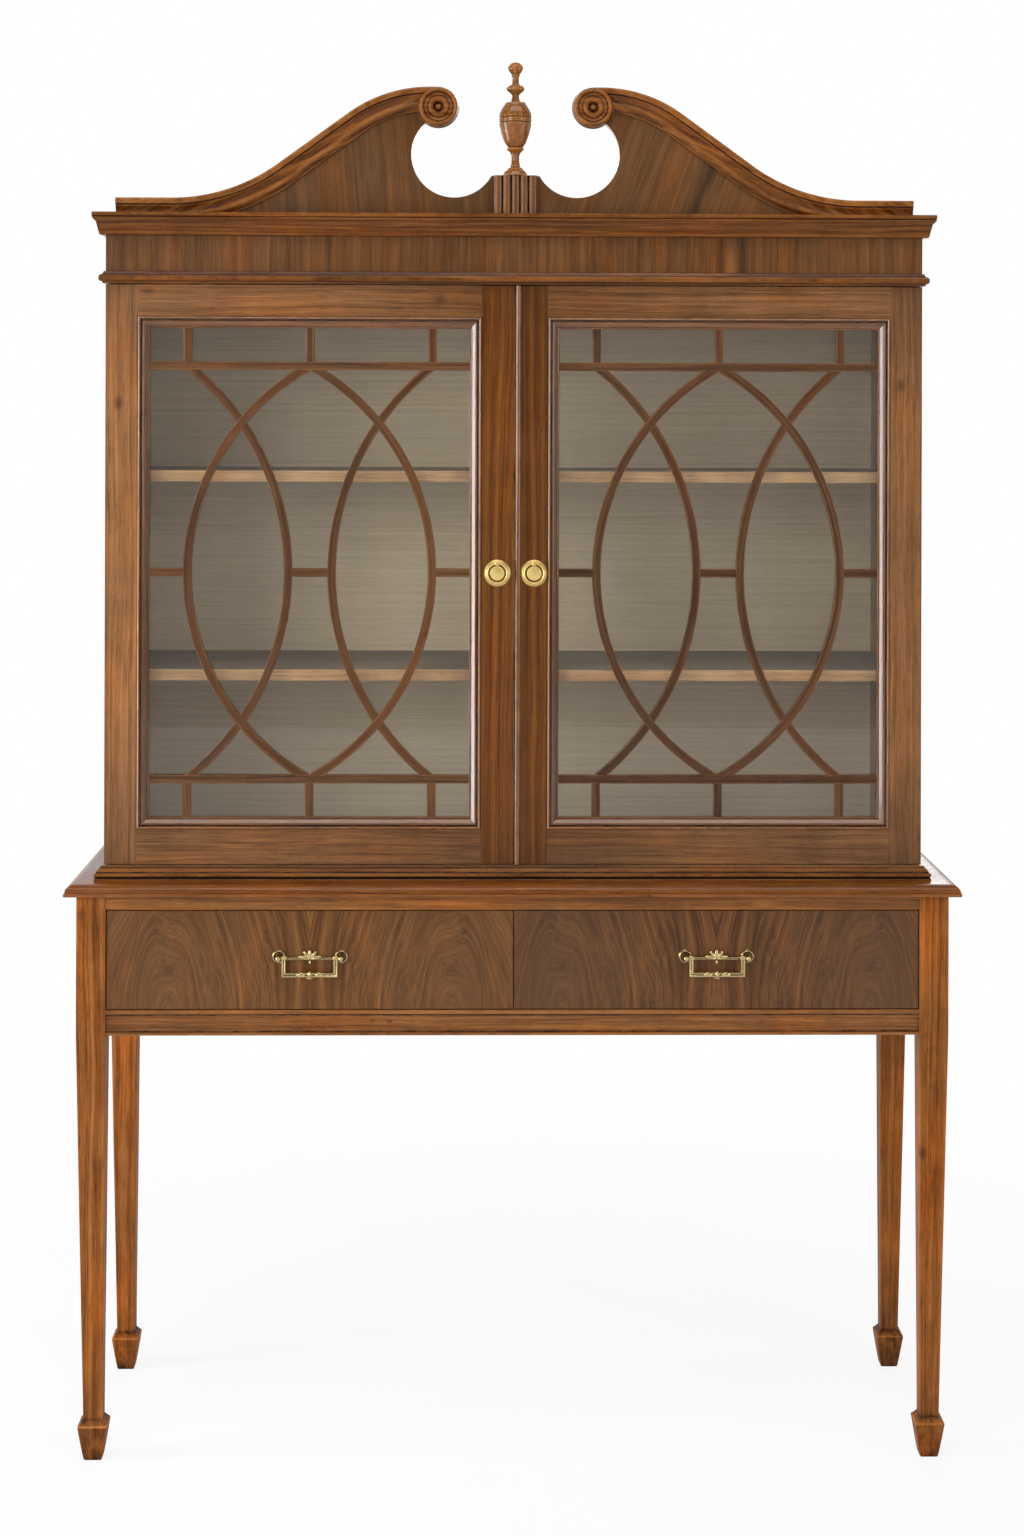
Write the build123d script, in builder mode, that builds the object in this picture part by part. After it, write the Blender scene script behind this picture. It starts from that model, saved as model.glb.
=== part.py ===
from build123d import *

import os
from math import cos, radians, sin, tan

# A glazed display cabinet on a stand with two drawers.
# Millimetres. The front faces -Y, +Z is up, the floor is Z = 0 and X = 0 is the middle.

# Stand: legs, rails and top
stand_width = 1311.0
stand_depth = 400.0
stand_height = 866.5
apron_height = 210.5
leg_width = 44.0
ankle_width = 28.5
foot_rim_width = 44.0
foot_toe_width = 27.0
foot_inset = 4.0
foot_rim_height = 53.0
foot_collar_height = 9.0
rail_thickness = 22.0
side_rail_recess = 3.0
front_rail_depth = 26.0
front_rail_recess = 1.0
upper_rail_height = 22.0
lower_rail_height = 38.0
lower_rail_sink = 4.0
lower_rail_bead = 5.0
tenon_length = 18.0
tenon_thickness = 8.0
tenon_shoulder = 5.0
tenon_clearance = 0.1
top_thickness = 17.5
top_overhang = 17.0
top_edge_width = 16.0
top_lip = 5.0
top_edge_out_shares = (1.0, 0.7, 0.36, 0.0)
top_edge_up_shares = (0.0, 0.45, 0.8, 1.0)

# Drawers and what carries them
drawer_gap = 1.5
drawer_recess = 2.5
drawer_front_thickness = 20.0
drawer_side_thickness = 12.0
drawer_side_height = 112.0
drawer_box_depth = 320.0
drawer_bottom_thickness = 6.0
drawer_bottom_rise = 12.0
groove_depth = 6.0
groove_clearance = 0.2
partition_thickness = 20.0
runner_thickness = 18.0
inner_runner_width = 16.0
guide_height = 20.0
slide_clearance = 0.3
guide_clearance = 0.5

# Drawer pulls
pull_spacing = 94.0
pull_rise = 5.0
rose_radius = 9.3
rose_thickness = 2.5
post_radius = 3.0
post_ball_radius = 4.0
post_ball_reach = 16.5
bail_reach = 11.0
bail_pin_radius = 1.6
bail_pin_clearance = 0.1
bail_barrel_radius = 3.4
bail_arm_width = 8.0
bail_arm_inset = 8.5
bail_drop = 25.0
bail_thickness = 5.0
bail_bar_height = 6.0
bail_bud_radius = 4.5
bail_bud_length = 12.0
crossbar_height = 4.8
crossbar_thickness = 4.0
crossbar_drop = 3.0
palmette_width = 34.0
palmette_lobe_width = 7.0
palmette_thickness = 6.0
palmette_turns = (-75, -38, 0, 38, 75)
palmette_lobe_shares = (0.5, 0.46, 0.44, 0.46, 0.5)
stud_radius = 2.0
stud_clearance = 0.2
nut_width = 8.0
nut_thickness = 3.5

# Case
case_width = 1239.0
case_inset = 36.0
case_side_thickness = 20.0
back_thickness = 8.0
door_height = 877.0
door_gap = 1.5
door_back_gap = 1.6
shelf_thickness = 17.0
shelf_height_shares = (0.3324, 0.6778)
shelf_setback = 12.0
shelf_end_clearance = 0.5
shelf_pin_radius = 3.0
shelf_pin_depth = 10.0
shelf_pin_reach = 9.0
shelf_pin_inset = 45.0
shelf_pin_clearance = 0.05
frieze_height = 54.5
frieze_thickness = 20.0
dust_board_thickness = 16.0

# Moulding round the foot of the case
foot_mould_height = 21.5
foot_mould_reach = 13.5
foot_mould_groove = 1.5
foot_mould_lip_reach = 4.0
foot_mould_rise_shares = (0.1, 0.24, 0.37, 0.5, 0.66, 0.82)

# Bead moulding under the frieze
bead_height = 18.5
bead_reach = 9.7
bead_fillet_reach = 4.5
bead_rise_shares = (0.15, 0.45, 0.72, 0.9)

# Cornice
cornice_height = 34.0
cornice_reach = 19.0
cornice_fascia_reach = 9.5
cornice_fascia_height = 12.0
cornice_cove_height = 13.0
cornice_groove = 1.2
cornice_sag_share = 0.3

# Doors
meeting_gap = 3.0
door_thickness = 22.0
stile_width = 49.0
top_rail_width = 48.0
bottom_rail_width = 53.0
door_tenon_length = 30.0
door_tenon_thickness = 7.0
door_tenon_shoulder = 8.0
moulding_width = 17.5
moulding_bead_width = 5.5
moulding_bead_rise = 3.5
moulding_edge_sink = 5.5
moulding_slope_shares = (0.38, 0.62)
bar_width = 13.0
bar_depth = 6.0
bar_sink = 6.5
bar_margin = 57.0
inner_arc_reach = 33.0
glass_thickness = 3.0
glass_clearance = 0.6
glazing_bead_width = 9.0
meeting_bead_width = 8.0
meeting_bead_rise = 4.0

# Knife hinges and catch
pivot_inset = 5.0
hinge_pin_radius = 2.5
hinge_pin_clearance = 0.05
hinge_leaf_width = 10.0
hinge_leaf_thickness = 2.5
hinge_leaf_margin = 1.0
hinge_leaf_end_wood = 4.0
hinge_boss_radius = 4.0
hinge_boss_clearance = 0.2
leaf_clearance = 0.1
strike_width = 22.0
strike_height = 12.0
strike_thickness = 1.2
strike_offset = 9.0
catch_width = 80.0
catch_depth = 14.0
catch_height = 14.0

# Ring pulls
ring_plate_radius = 19.0
ring_plate_thickness = 2.0
ring_rim_radius = 1.5
ring_boss_radius = 12.6
ring_boss_height = 6.0
ring_radius = 15.0
ring_wire_radius = 1.4
ring_reach = 5.0
ring_hole_clearance = 0.5
ring_ear_width = 6.0
ring_ear_wall = 1.3

# Pediment
pediment_inset = 16.0
pediment_thickness = 20.0
neck_end_height = 22.0
neck_slope = 36.0
neck_hollow_share = 0.4518
neck_crown_share = 0.3455
crest_height = 191.5
crest_offset = 130.0
neck_width = 36.0
neck_reach = 10.0
neck_bead_width = 10.0
neck_bead_reach = 14.0
bite_radius = 65.0
bite_offset = 93.0
bite_height = 90.0
rosette_radius = 29.5
rosette_offset = 117.0
rosette_height = 161.0
rosette_reach = 22.0
rosette_seat_radius = 26.0
rosette_clearance = 0.1
rosette_radius_shares = (1.0, 0.96, 0.84, 0.68, 0.66, 0.56, 0.46, 0.42, 0.34, 0.24, 0.22, 0.1, 0.0)
rosette_reach_shares = (0.72, 0.92, 1.0, 0.92, 0.8, 0.88, 0.8, 0.7, 0.78, 0.7, 0.56, 0.72, 0.75)
block_width = 66.0
block_height = 58.0
block_reach = 12.0
block_depth = 40.0
reed_count = 5
reed_rise = 5.0

# Urn finial, turned: rise and radius of each point of its outline from the foot up
finial_height = 173.5
finial_radius = 25.2
finial_dowel_radius = 6.0
finial_dowel_depth = 24.0
dowel_clearance = 0.1
finial_rise_shares = (
    0.0, 0.02, 0.076, 0.09, 0.142, 0.19, 0.24, 0.256, 0.265, 0.304, 0.361, 0.427, 0.475, 0.513, 0.571,
    0.597, 0.626, 0.646, 0.664, 0.72, 0.74, 0.752, 0.768, 0.784, 0.808, 0.868, 0.892, 0.915, 0.948,
    0.981, 1.0,
)
finial_radius_shares = (
    0.765, 0.765, 0.41, 0.32, 0.27, 0.283, 0.52, 0.52, 0.42, 0.65, 0.82, 0.946, 0.988, 1.0, 0.994,
    0.898, 0.753, 0.65, 0.27, 0.24, 0.355, 0.51, 0.57, 0.51, 0.223, 0.205, 0.26, 0.41, 0.464,
    0.35, 0.0,
)

# How far cuts run past the faces they leave
overrun = 10.0

# Places that follow from the sizes above
back_y = (stand_depth + top_overhang) / 2
leg_front_y = back_y - stand_depth
leg_inner_x = stand_width / 2 - leg_width
top_bottom = stand_height - top_thickness
apron_bottom = top_bottom - apron_height
ankle_height = foot_rim_height + foot_collar_height
rail_front_y = leg_front_y + front_rail_recess
rail_back_y = rail_front_y + front_rail_depth
side_rail_x = stand_width / 2 - side_rail_recess - rail_thickness
back_rail_y = back_y - side_rail_recess - rail_thickness
opening_bottom = apron_bottom + lower_rail_height
opening_top = top_bottom - upper_rail_height
drawer_front_width = leg_inner_x - 1.5 * drawer_gap
drawer_front_height = opening_top - opening_bottom - 2 * drawer_gap
drawer_front_y = leg_front_y + drawer_recess
drawer_back_y = drawer_front_y + drawer_front_thickness
box_inner_x = partition_thickness / 2 + guide_clearance
box_width = drawer_front_width + drawer_gap - 2 * box_inner_x
drawer_x = (drawer_front_width + drawer_gap) / 2
box_bottom = opening_bottom + slide_clearance
panel_bottom = box_bottom + drawer_bottom_rise
pull_z = (opening_bottom + opening_top) / 2 + pull_rise

case_front_y = leg_front_y + case_inset
door_back_y = case_front_y + door_thickness
side_front_y = door_back_y + door_back_gap
case_floor = stand_height + foot_mould_height
case_roof = case_floor + door_height + 2 * door_gap
case_inner_x = case_width / 2 - case_side_thickness
frieze_bottom = case_roof + bead_height
cornice_bottom = frieze_bottom + frieze_height
cornice_top = cornice_bottom + cornice_height
panel_front_y = back_y - back_thickness
shelf_heights = [case_floor + (case_roof - case_floor) * share for share in shelf_height_shares]
shelf_front_y = side_front_y + shelf_setback

door_width = (case_width - meeting_gap) / 2
door_bottom = case_floor + door_gap
door_top = door_bottom + door_height
door_x = (door_width + meeting_gap) / 2
frame_width = door_width - 2 * stile_width
frame_height = door_height - top_rail_width - bottom_rail_width
frame_z = door_bottom + bottom_rail_width + frame_height / 2
sight_width = frame_width - 2 * moulding_width
sight_height = frame_height - 2 * moulding_width
glass_front_sink = bar_sink + bar_depth
bar_front_y = case_front_y + bar_sink
upright_x = sight_width / 2 - bar_margin
transom_z = sight_height / 2 - bar_margin
pivot_x = case_width / 2 - pivot_inset
pivot_y = case_front_y + door_thickness / 2
ring_pull_z = frame_z
pediment_half_width = case_width / 2 - pediment_inset
neck_hollow_radius = pediment_half_width * neck_hollow_share
neck_crown_radius = pediment_half_width * neck_crown_share

os.makedirs("parts", exist_ok=True)


def save(label, *pieces):
    """Label one node and write it. Several pieces stay separate solids."""
    node = pieces[0] if len(pieces) == 1 else Compound(children=list(pieces))
    node.label = label
    export_step(node, f"parts/{label}.step")


def block(low, high, mode=Mode.ADD):
    """A box between two opposite corners, in the part that is being built."""
    centre = tuple((a + b) / 2 for a, b in zip(low, high))
    with Locations(centre):
        Box(*(b - a for a, b in zip(low, high)), mode=mode)


def board(low, high):
    """A plain board between two opposite corners."""
    with BuildPart() as piece:
        block(low, high)
    return piece.part


def spread(x_edges):
    """The two edges of a span, the smaller first."""
    return min(x_edges), max(x_edges)


def front_plane(x, y, z):
    """A plane that faces the front, its X along +X and its Y up."""
    return Plane(origin=(x, y, z), x_dir=(1, 0, 0), z_dir=(0, -1, 0))


def turned(x, y, z, outline):
    """A turned piece about a front-to-back axis, from (radius, reach forward) points."""
    with BuildPart() as piece:
        with BuildSketch(Plane(origin=(x, y, z), x_dir=(1, 0, 0), z_dir=(0, 0, -1))):
            with BuildLine():
                Polyline(*outline, close=True)
            make_face()
        revolve(axis=Axis((x, y, z), (0, 1, 0)))
    return piece.part


def moulding_run(start, run, out, up, length, outline, mitres):
    """A straight moulding: its outline, in (out, up) points, along a run from a start point.

    A mitre of 1 lengthens the outer side at that end, -1 shortens it, and 0 leaves it square.
    """
    start, run, out, up = Vector(start), Vector(run), Vector(out), Vector(up)
    with BuildPart() as piece:
        with BuildSketch(Plane(origin=start, x_dir=out, z_dir=out.cross(up))):
            with BuildLine():
                Polyline(*outline, close=True)
            make_face()
        along = out.cross(up).dot(run)
        reach = max(abs(point[0]) for point in outline) + overrun
        extrude(amount=along * (length + reach))
        extrude(piece.faces().sort_by(Axis(start, run))[0], amount=reach)
        for end, mitre in zip((0, 1), mitres):
            corner = start + run * (length * end)
            outward = run * (2 * end - 1) - out * mitre
            split(bisect_by=Plane(origin=corner, z_dir=outward), keep=Keep.BOTTOM)
    return piece.part


def case_moulding(label, bottom, outline):
    """A moulding round the front and the two sides of the case, mitred at the front corners."""
    half = case_width / 2
    depth = back_y - case_front_y
    up = (0, 0, 1)
    left_corner = (-half, case_front_y, bottom)
    right_corner = (half, case_front_y, bottom)
    front = moulding_run(left_corner, (1, 0, 0), (0, -1, 0), up, case_width, outline, (1, 1))
    left = moulding_run(left_corner, (0, 1, 0), (-1, 0, 0), up, depth, outline, (1, 0))
    right = moulding_run(right_corner, (0, 1, 0), (1, 0, 0), up, depth, outline, (1, 0))
    save(label, front, left, right)


def frame_strips(x, y, outline):
    """Four mitred strips round the inside of a door frame, from (inward, forward) points."""
    half_w = frame_width / 2
    half_h = frame_height / 2
    front = (0, -1, 0)
    corner_low = (x - half_w, y, frame_z - half_h)
    corner_high = (x + half_w, y, frame_z + half_h)
    return (
        moulding_run(corner_low, (1, 0, 0), (0, 0, 1), front, frame_width, outline, (-1, -1)),
        moulding_run(corner_low, (0, 0, 1), (1, 0, 0), front, frame_height, outline, (-1, -1)),
        moulding_run(corner_high, (-1, 0, 0), (0, 0, -1), front, frame_width, outline, (-1, -1)),
        moulding_run(corner_high, (0, 0, -1), (-1, 0, 0), front, frame_height, outline, (-1, -1)),
    )


# Legs with their mortises
rail_tenons = {
    "upper": (top_bottom - upper_rail_height + tenon_shoulder, top_bottom - tenon_shoulder),
    "lower": (apron_bottom + tenon_shoulder, opening_bottom - tenon_shoulder),
    "apron": (apron_bottom + tenon_shoulder, top_bottom - tenon_shoulder),
}
front_tenon_y = rail_front_y + (front_rail_depth - tenon_thickness) / 2
side_tenon_x = side_rail_x + (rail_thickness - tenon_thickness) / 2
back_tenon_y = back_rail_y + (rail_thickness - tenon_thickness) / 2


def rail_tenon(side, y, kind, room, mode):
    """A tenon along X on one end of a front or back rail, or its mortise in the leg."""
    low_z, high_z = rail_tenons[kind]
    inner, outer = spread((side * leg_inner_x, side * (leg_inner_x + tenon_length + room)))
    block((inner, y - room, low_z - room), (outer, y + tenon_thickness + room, high_z + room), mode)


def side_tenon(side, end, room, mode):
    """A tenon along Y on the front (-1) or back (1) end of a side rail, or its mortise."""
    low_z, high_z = rail_tenons["apron"]
    shoulder = leg_front_y + leg_width if end < 0 else back_y - leg_width
    near, far = spread((shoulder, shoulder + end * (tenon_length + room)))
    inner, outer = spread((side * (side_tenon_x - room), side * (side_tenon_x + tenon_thickness + room)))
    block((inner, near, low_z - room), (outer, far, high_z + room), mode)


for side, side_name in ((-1, "left"), (1, "right")):
    for end, end_name in ((-1, "front"), (1, "back")):
        leg_x = side * (stand_width - leg_width) / 2
        leg_y = leg_front_y + leg_width / 2 if end < 0 else back_y - leg_width / 2
        foot_x = leg_x - side * foot_inset
        sections = (
            (0, foot_x, foot_toe_width),
            (foot_rim_height, foot_x, foot_rim_width),
            (ankle_height, foot_x, ankle_width),
            (apron_bottom, leg_x, leg_width),
            (top_bottom, leg_x, leg_width),
        )
        with BuildPart() as leg:
            for section_pair in zip(sections, sections[1:]):
                for height, middle_x, width in section_pair:
                    with BuildSketch(Plane((middle_x, leg_y, height))):
                        Rectangle(width, width)
                loft(ruled=True)
            side_tenon(side, end, tenon_clearance, Mode.SUBTRACT)
            if end < 0:
                rail_tenon(side, front_tenon_y, "upper", tenon_clearance, Mode.SUBTRACT)
                rail_tenon(side, front_tenon_y, "lower", tenon_clearance, Mode.SUBTRACT)
            else:
                rail_tenon(side, back_tenon_y, "apron", tenon_clearance, Mode.SUBTRACT)
        save(f"leg_{end_name}_{side_name}", leg.part)

# Rails of the stand
side_rails = []
for side in (-1, 1):
    with BuildPart() as side_rail:
        inner, outer = spread((side * side_rail_x, side * (side_rail_x + rail_thickness)))
        block((inner, leg_front_y + leg_width, apron_bottom), (outer, back_y - leg_width, top_bottom))
        side_tenon(side, -1, 0, Mode.ADD)
        side_tenon(side, 1, 0, Mode.ADD)
    side_rails.append(side_rail.part)
save("stand_side_rails", *side_rails)

with BuildPart() as back_rail:
    block(
        (-leg_inner_x, back_rail_y, apron_bottom),
        (leg_inner_x, back_rail_y + rail_thickness, top_bottom),
    )
    for side in (-1, 1):
        rail_tenon(side, back_tenon_y, "apron", 0, Mode.ADD)
save("stand_back_rail", back_rail.part)

with BuildPart() as upper_rail:
    block((-leg_inner_x, rail_front_y, opening_top), (leg_inner_x, rail_back_y, top_bottom))
    for side in (-1, 1):
        rail_tenon(side, front_tenon_y, "upper", 0, Mode.ADD)
save("drawer_rail_upper", upper_rail.part)

with BuildPart() as lower_rail:
    block((-leg_inner_x, rail_front_y, apron_bottom), (leg_inner_x, rail_back_y, opening_bottom))
    block(
        (-leg_inner_x, rail_front_y - overrun, apron_bottom + lower_rail_bead),
        (leg_inner_x, rail_front_y + lower_rail_sink, opening_bottom - lower_rail_bead),
        Mode.SUBTRACT,
    )
    for side in (-1, 1):
        rail_tenon(side, front_tenon_y, "lower", 0, Mode.ADD)
save("drawer_rail_lower", lower_rail.part)

save(
    "drawer_partition",
    board(
        (-partition_thickness / 2, rail_back_y, opening_bottom - runner_thickness),
        (partition_thickness / 2, back_rail_y, top_bottom),
    ),
)

runner_bottom = opening_bottom - runner_thickness
runners = []
for side in (-1, 1):
    half_partition = partition_thickness / 2
    inner, outer = spread((side * half_partition, side * (half_partition + inner_runner_width)))
    runners.append(board((inner, rail_back_y, runner_bottom), (outer, back_rail_y, opening_bottom)))
    box_outer_x = box_inner_x + box_width
    with BuildPart() as outer_runner:
        inner, outer = spread((side * (box_outer_x - drawer_side_thickness), side * side_rail_x))
        block((inner, leg_front_y + leg_width, runner_bottom), (outer, back_y - leg_width, opening_bottom))
        inner, outer = spread((side * (box_outer_x + guide_clearance), side * side_rail_x))
        block(
            (inner, leg_front_y + leg_width, opening_bottom),
            (outer, back_y - leg_width, opening_bottom + guide_height),
        )
    runners.append(outer_runner.part)
save("drawer_runners", *runners)

# Stand top: a lip, then a rounded edge on the front and the two sides
with BuildPart() as stand_top:
    edge_height = top_thickness - top_lip
    levels = [(0, 0)]
    for out_share, up_share in zip(top_edge_out_shares, top_edge_up_shares):
        levels.append((top_edge_width * (1 - out_share), top_lip + edge_height * up_share))
    for (low_in, low_rise), (high_in, high_rise) in zip(levels, levels[1:]):
        for inset, rise in ((low_in, low_rise), (high_in, high_rise)):
            front = leg_front_y - top_overhang + inset
            with BuildSketch(Plane((0, (front + back_y) / 2, top_bottom + rise))):
                Rectangle(stand_width + 2 * (top_overhang - inset), back_y - front)
        loft(ruled=True)
save("stand_top", stand_top.part)

# Drawers
for side, side_name in ((-1, "left"), (1, "right")):
    front_low = opening_bottom + drawer_gap
    front_high = front_low + drawer_front_height
    centre_x = side * drawer_x
    half_front = drawer_front_width / 2
    half_box = box_width / 2
    half_inside = half_box - drawer_side_thickness
    box_back_y = drawer_back_y + drawer_box_depth
    side_top = box_bottom + drawer_side_height
    groove_low = panel_bottom - groove_clearance
    groove_high = panel_bottom + drawer_bottom_thickness + groove_clearance
    panel_half = half_inside + groove_depth - guide_clearance
    panel_low = (centre_x - panel_half, drawer_back_y - groove_depth + guide_clearance, panel_bottom)
    panel_high = (centre_x + panel_half, box_back_y, panel_bottom + drawer_bottom_thickness)
    with BuildPart() as drawer_front:
        block(
            (centre_x - half_front, drawer_front_y, front_low),
            (centre_x + half_front, drawer_back_y, front_high),
        )
        block(
            (centre_x - half_inside - groove_depth, drawer_back_y - groove_depth, groove_low),
            (centre_x + half_inside + groove_depth, drawer_back_y, groove_high),
            Mode.SUBTRACT,
        )
        with BuildSketch(front_plane(centre_x, drawer_front_y, pull_z)):
            with GridLocations(pull_spacing, 0, 2, 1):
                Circle(stud_radius + stud_clearance)
        extrude(amount=-drawer_front_thickness, mode=Mode.SUBTRACT)
    save(f"drawer_{side_name}_front", drawer_front.part)

    walls = []
    for wall in (-1, 1):
        inner, outer = spread((centre_x + wall * half_inside, centre_x + wall * half_box))
        with BuildPart() as drawer_side:
            block((inner, drawer_back_y, box_bottom), (outer, box_back_y, side_top))
            groove_bed = centre_x + wall * (half_inside + groove_depth)
            inner, outer = spread((centre_x + wall * half_inside, groove_bed))
            block((inner, drawer_back_y, groove_low), (outer, box_back_y, groove_high), Mode.SUBTRACT)
        walls.append(drawer_side.part)
    walls.append(
        board(
            (centre_x - half_inside, box_back_y - drawer_side_thickness, panel_high[2]),
            (centre_x + half_inside, box_back_y, side_top),
        )
    )
    save(f"drawer_{side_name}_walls", *walls)
    save(f"drawer_{side_name}_bottom", board(panel_low, panel_high))

    # Pull: posts with roses and studs, nuts, a crossbar with a palmette
    fittings = []
    for end in (-1, 1):
        post_x = centre_x + end * pull_spacing / 2
        with BuildPart() as post:
            with BuildSketch(front_plane(post_x, drawer_front_y, pull_z)):
                Circle(rose_radius)
            extrude(amount=rose_thickness)
            with BuildSketch(front_plane(post_x, drawer_front_y, pull_z)):
                Circle(post_radius)
            extrude(amount=post_ball_reach)
            with Locations((post_x, drawer_front_y - post_ball_reach, pull_z)):
                Sphere(post_ball_radius)
            with BuildSketch(front_plane(post_x, drawer_front_y, pull_z)):
                Circle(stud_radius)
            extrude(amount=-drawer_front_thickness - nut_thickness)
            pin_root = (post_x, drawer_front_y - bail_reach, pull_z)
            with BuildSketch(Plane(origin=pin_root, z_dir=(-end, 0, 0))):
                Circle(bail_pin_radius)
            extrude(amount=bail_arm_inset + bail_arm_width / 2)
        fittings.append(post.part)
        with BuildPart() as nut:
            with BuildSketch(front_plane(post_x, drawer_back_y, pull_z)):
                RegularPolygon(nut_width / 2, 6, major_radius=False)
                Circle(stud_radius, mode=Mode.SUBTRACT)
            extrude(amount=-nut_thickness)
        fittings.append(nut.part)
    with BuildPart() as crossbar:
        with BuildSketch(front_plane(centre_x, drawer_front_y, pull_z - crossbar_drop)):
            Rectangle(pull_spacing - 2 * rose_radius, crossbar_height)
        extrude(amount=crossbar_thickness)
        with BuildSketch(front_plane(centre_x, drawer_front_y, pull_z - crossbar_drop)):
            for turn, share in zip(palmette_turns, palmette_lobe_shares):
                length = palmette_width * share
                along = (length / 2 * sin(radians(turn)), length / 2 * cos(radians(turn)))
                with Locations(Location(along + (0,), (0, 0, -turn))):
                    Ellipse(palmette_lobe_width / 2, length / 2)
        extrude(amount=palmette_thickness)
    fittings.append(crossbar.part)
    save(f"drawer_{side_name}_pull_mount", *fittings)

    bail_y = drawer_front_y - bail_reach
    bar_z = pull_z - bail_drop
    arm_x = pull_spacing / 2 - bail_arm_inset
    bar_half = arm_x + bail_arm_width / 2
    with BuildPart() as bail:
        block(
            (centre_x - bar_half, bail_y - bail_thickness / 2, bar_z - bail_bar_height / 2),
            (centre_x + bar_half, bail_y + bail_thickness / 2, bar_z + bail_bar_height / 2),
        )
        for end in (-1, 1):
            middle = centre_x + end * arm_x
            block(
                (middle - bail_arm_width / 2, bail_y - bail_thickness / 2, bar_z),
                (middle + bail_arm_width / 2, bail_y + bail_thickness / 2, pull_z),
            )
            with BuildSketch(Plane(origin=(middle, bail_y, pull_z), z_dir=(1, 0, 0))):
                Circle(bail_barrel_radius)
            extrude(amount=bail_arm_width / 2, both=True)
            with BuildSketch(Plane(origin=(middle, bail_y, pull_z), z_dir=(1, 0, 0))):
                Circle(bail_pin_radius + bail_pin_clearance)
            extrude(amount=bail_arm_width, both=True, mode=Mode.SUBTRACT)
        with BuildSketch(front_plane(centre_x, bail_y, bar_z)):
            with BuildLine():
                Polyline(
                    (-bail_bud_length / 2, 0),
                    (-bail_bud_length / 2, bail_bar_height / 2),
                    (-bail_bud_length / 4, bail_bud_radius),
                    (bail_bud_length / 4, bail_bud_radius),
                    (bail_bud_length / 2, bail_bar_height / 2),
                    (bail_bud_length / 2, 0),
                    close=True,
                )
            make_face()
        revolve(axis=Axis((centre_x, bail_y, bar_z), (1, 0, 0)))
    save(f"drawer_{side_name}_bail", bail.part)

# Mouldings of the case
foot_rises = [foot_mould_height * share for share in foot_mould_rise_shares]
foot_out = foot_mould_reach
foot_waist = (foot_mould_reach + foot_mould_lip_reach) / 2
foot_outline = (
    (0, 0),
    (foot_out, 0),
    (foot_out, foot_rises[0]),
    (foot_out - foot_mould_groove, foot_rises[0]),
    (foot_out - foot_mould_groove, foot_rises[1]),
    (foot_out, foot_rises[2]),
    (foot_out, foot_rises[3]),
    (foot_waist, foot_rises[4]),
    (foot_mould_lip_reach + foot_mould_groove, foot_rises[5]),
    (foot_mould_lip_reach, foot_rises[5]),
    (foot_mould_lip_reach, foot_mould_height),
    (0, foot_mould_height),
)
case_moulding("case_foot_moulding", stand_height, foot_outline)

bead_rises = [bead_height * share for share in bead_rise_shares]
bead_outline = (
    (0, 0),
    (bead_fillet_reach, 0),
    (bead_fillet_reach, bead_rises[0]),
    ((bead_fillet_reach + bead_reach) / 2, bead_rises[0]),
    (bead_reach, (bead_rises[0] + bead_rises[1]) / 2),
    (bead_reach, (bead_rises[1] + bead_rises[2]) / 2),
    ((bead_fillet_reach + bead_reach) / 2, bead_rises[2]),
    (bead_fillet_reach / 2, bead_rises[3]),
    (bead_fillet_reach / 2, bead_height),
    (0, bead_height),
)
case_moulding("frieze_bead", case_roof, bead_outline)

cove_top = cornice_fascia_height + cornice_cove_height
cove_middle = (cornice_fascia_reach + cornice_reach) / 2
cove_sag = (cornice_reach - cornice_fascia_reach) * cornice_sag_share
fillet_rise = (cornice_height - cove_top) / 4
cornice_outline = (
    (0, 0),
    (cornice_fascia_reach, 0),
    (cornice_fascia_reach, cornice_fascia_height),
    (cove_middle - cove_sag, (cornice_fascia_height + cove_top) / 2),
    (cornice_reach, cove_top),
    (cornice_reach, cove_top + fillet_rise),
    (cornice_reach - cornice_groove, cove_top + 1.5 * fillet_rise),
    (cornice_reach, cove_top + 2 * fillet_rise),
    (cornice_reach, cornice_height),
    (0, cornice_height),
)
case_moulding("cornice", cornice_bottom, cornice_outline)


# Knife hinge: a leaf let in flush, its pin or its hole at the pivot
def leaf_box(side, face_z, inward, room, mode=Mode.ADD):
    """The plate of a leaf, lying in a face at a height and let in upwards or downwards."""
    near = side * (case_width / 2 - hinge_leaf_margin + room)
    far = side * (case_width / 2 - stile_width + hinge_leaf_end_wood - room)
    inner, outer = spread((near, far))
    low, high = spread((face_z, face_z + inward * hinge_leaf_thickness))
    half = hinge_leaf_width / 2 + room
    block((inner, pivot_y - half, low), (outer, pivot_y + half, high), mode)


def pivot_disc(side, low, high, radius, mode=Mode.ADD):
    """A round pin, boss or hole on the pivot between two heights."""
    with Locations((side * pivot_x, pivot_y, (low + high) / 2)):
        Cylinder(radius, high - low, mode=mode)


# Case boards
with BuildPart() as case_bottom:
    block((-case_width / 2, case_front_y, stand_height), (case_width / 2, back_y, case_floor))
    for side in (-1, 1):
        leaf_box(side, case_floor, -1, leaf_clearance, Mode.SUBTRACT)
save("case_bottom", case_bottom.part)

with BuildPart() as case_top:
    block((-case_width / 2, case_front_y, case_roof), (case_width / 2, back_y, frieze_bottom))
    for side in (-1, 1):
        leaf_box(side, case_roof, 1, leaf_clearance, Mode.SUBTRACT)
save("case_top", case_top.part)

pin_places = []
for shelf_top in shelf_heights:
    for pin_y in (shelf_front_y + shelf_pin_inset, panel_front_y - shelf_pin_inset):
        pin_places.append((pin_y, shelf_top - shelf_thickness - shelf_pin_radius))

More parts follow.
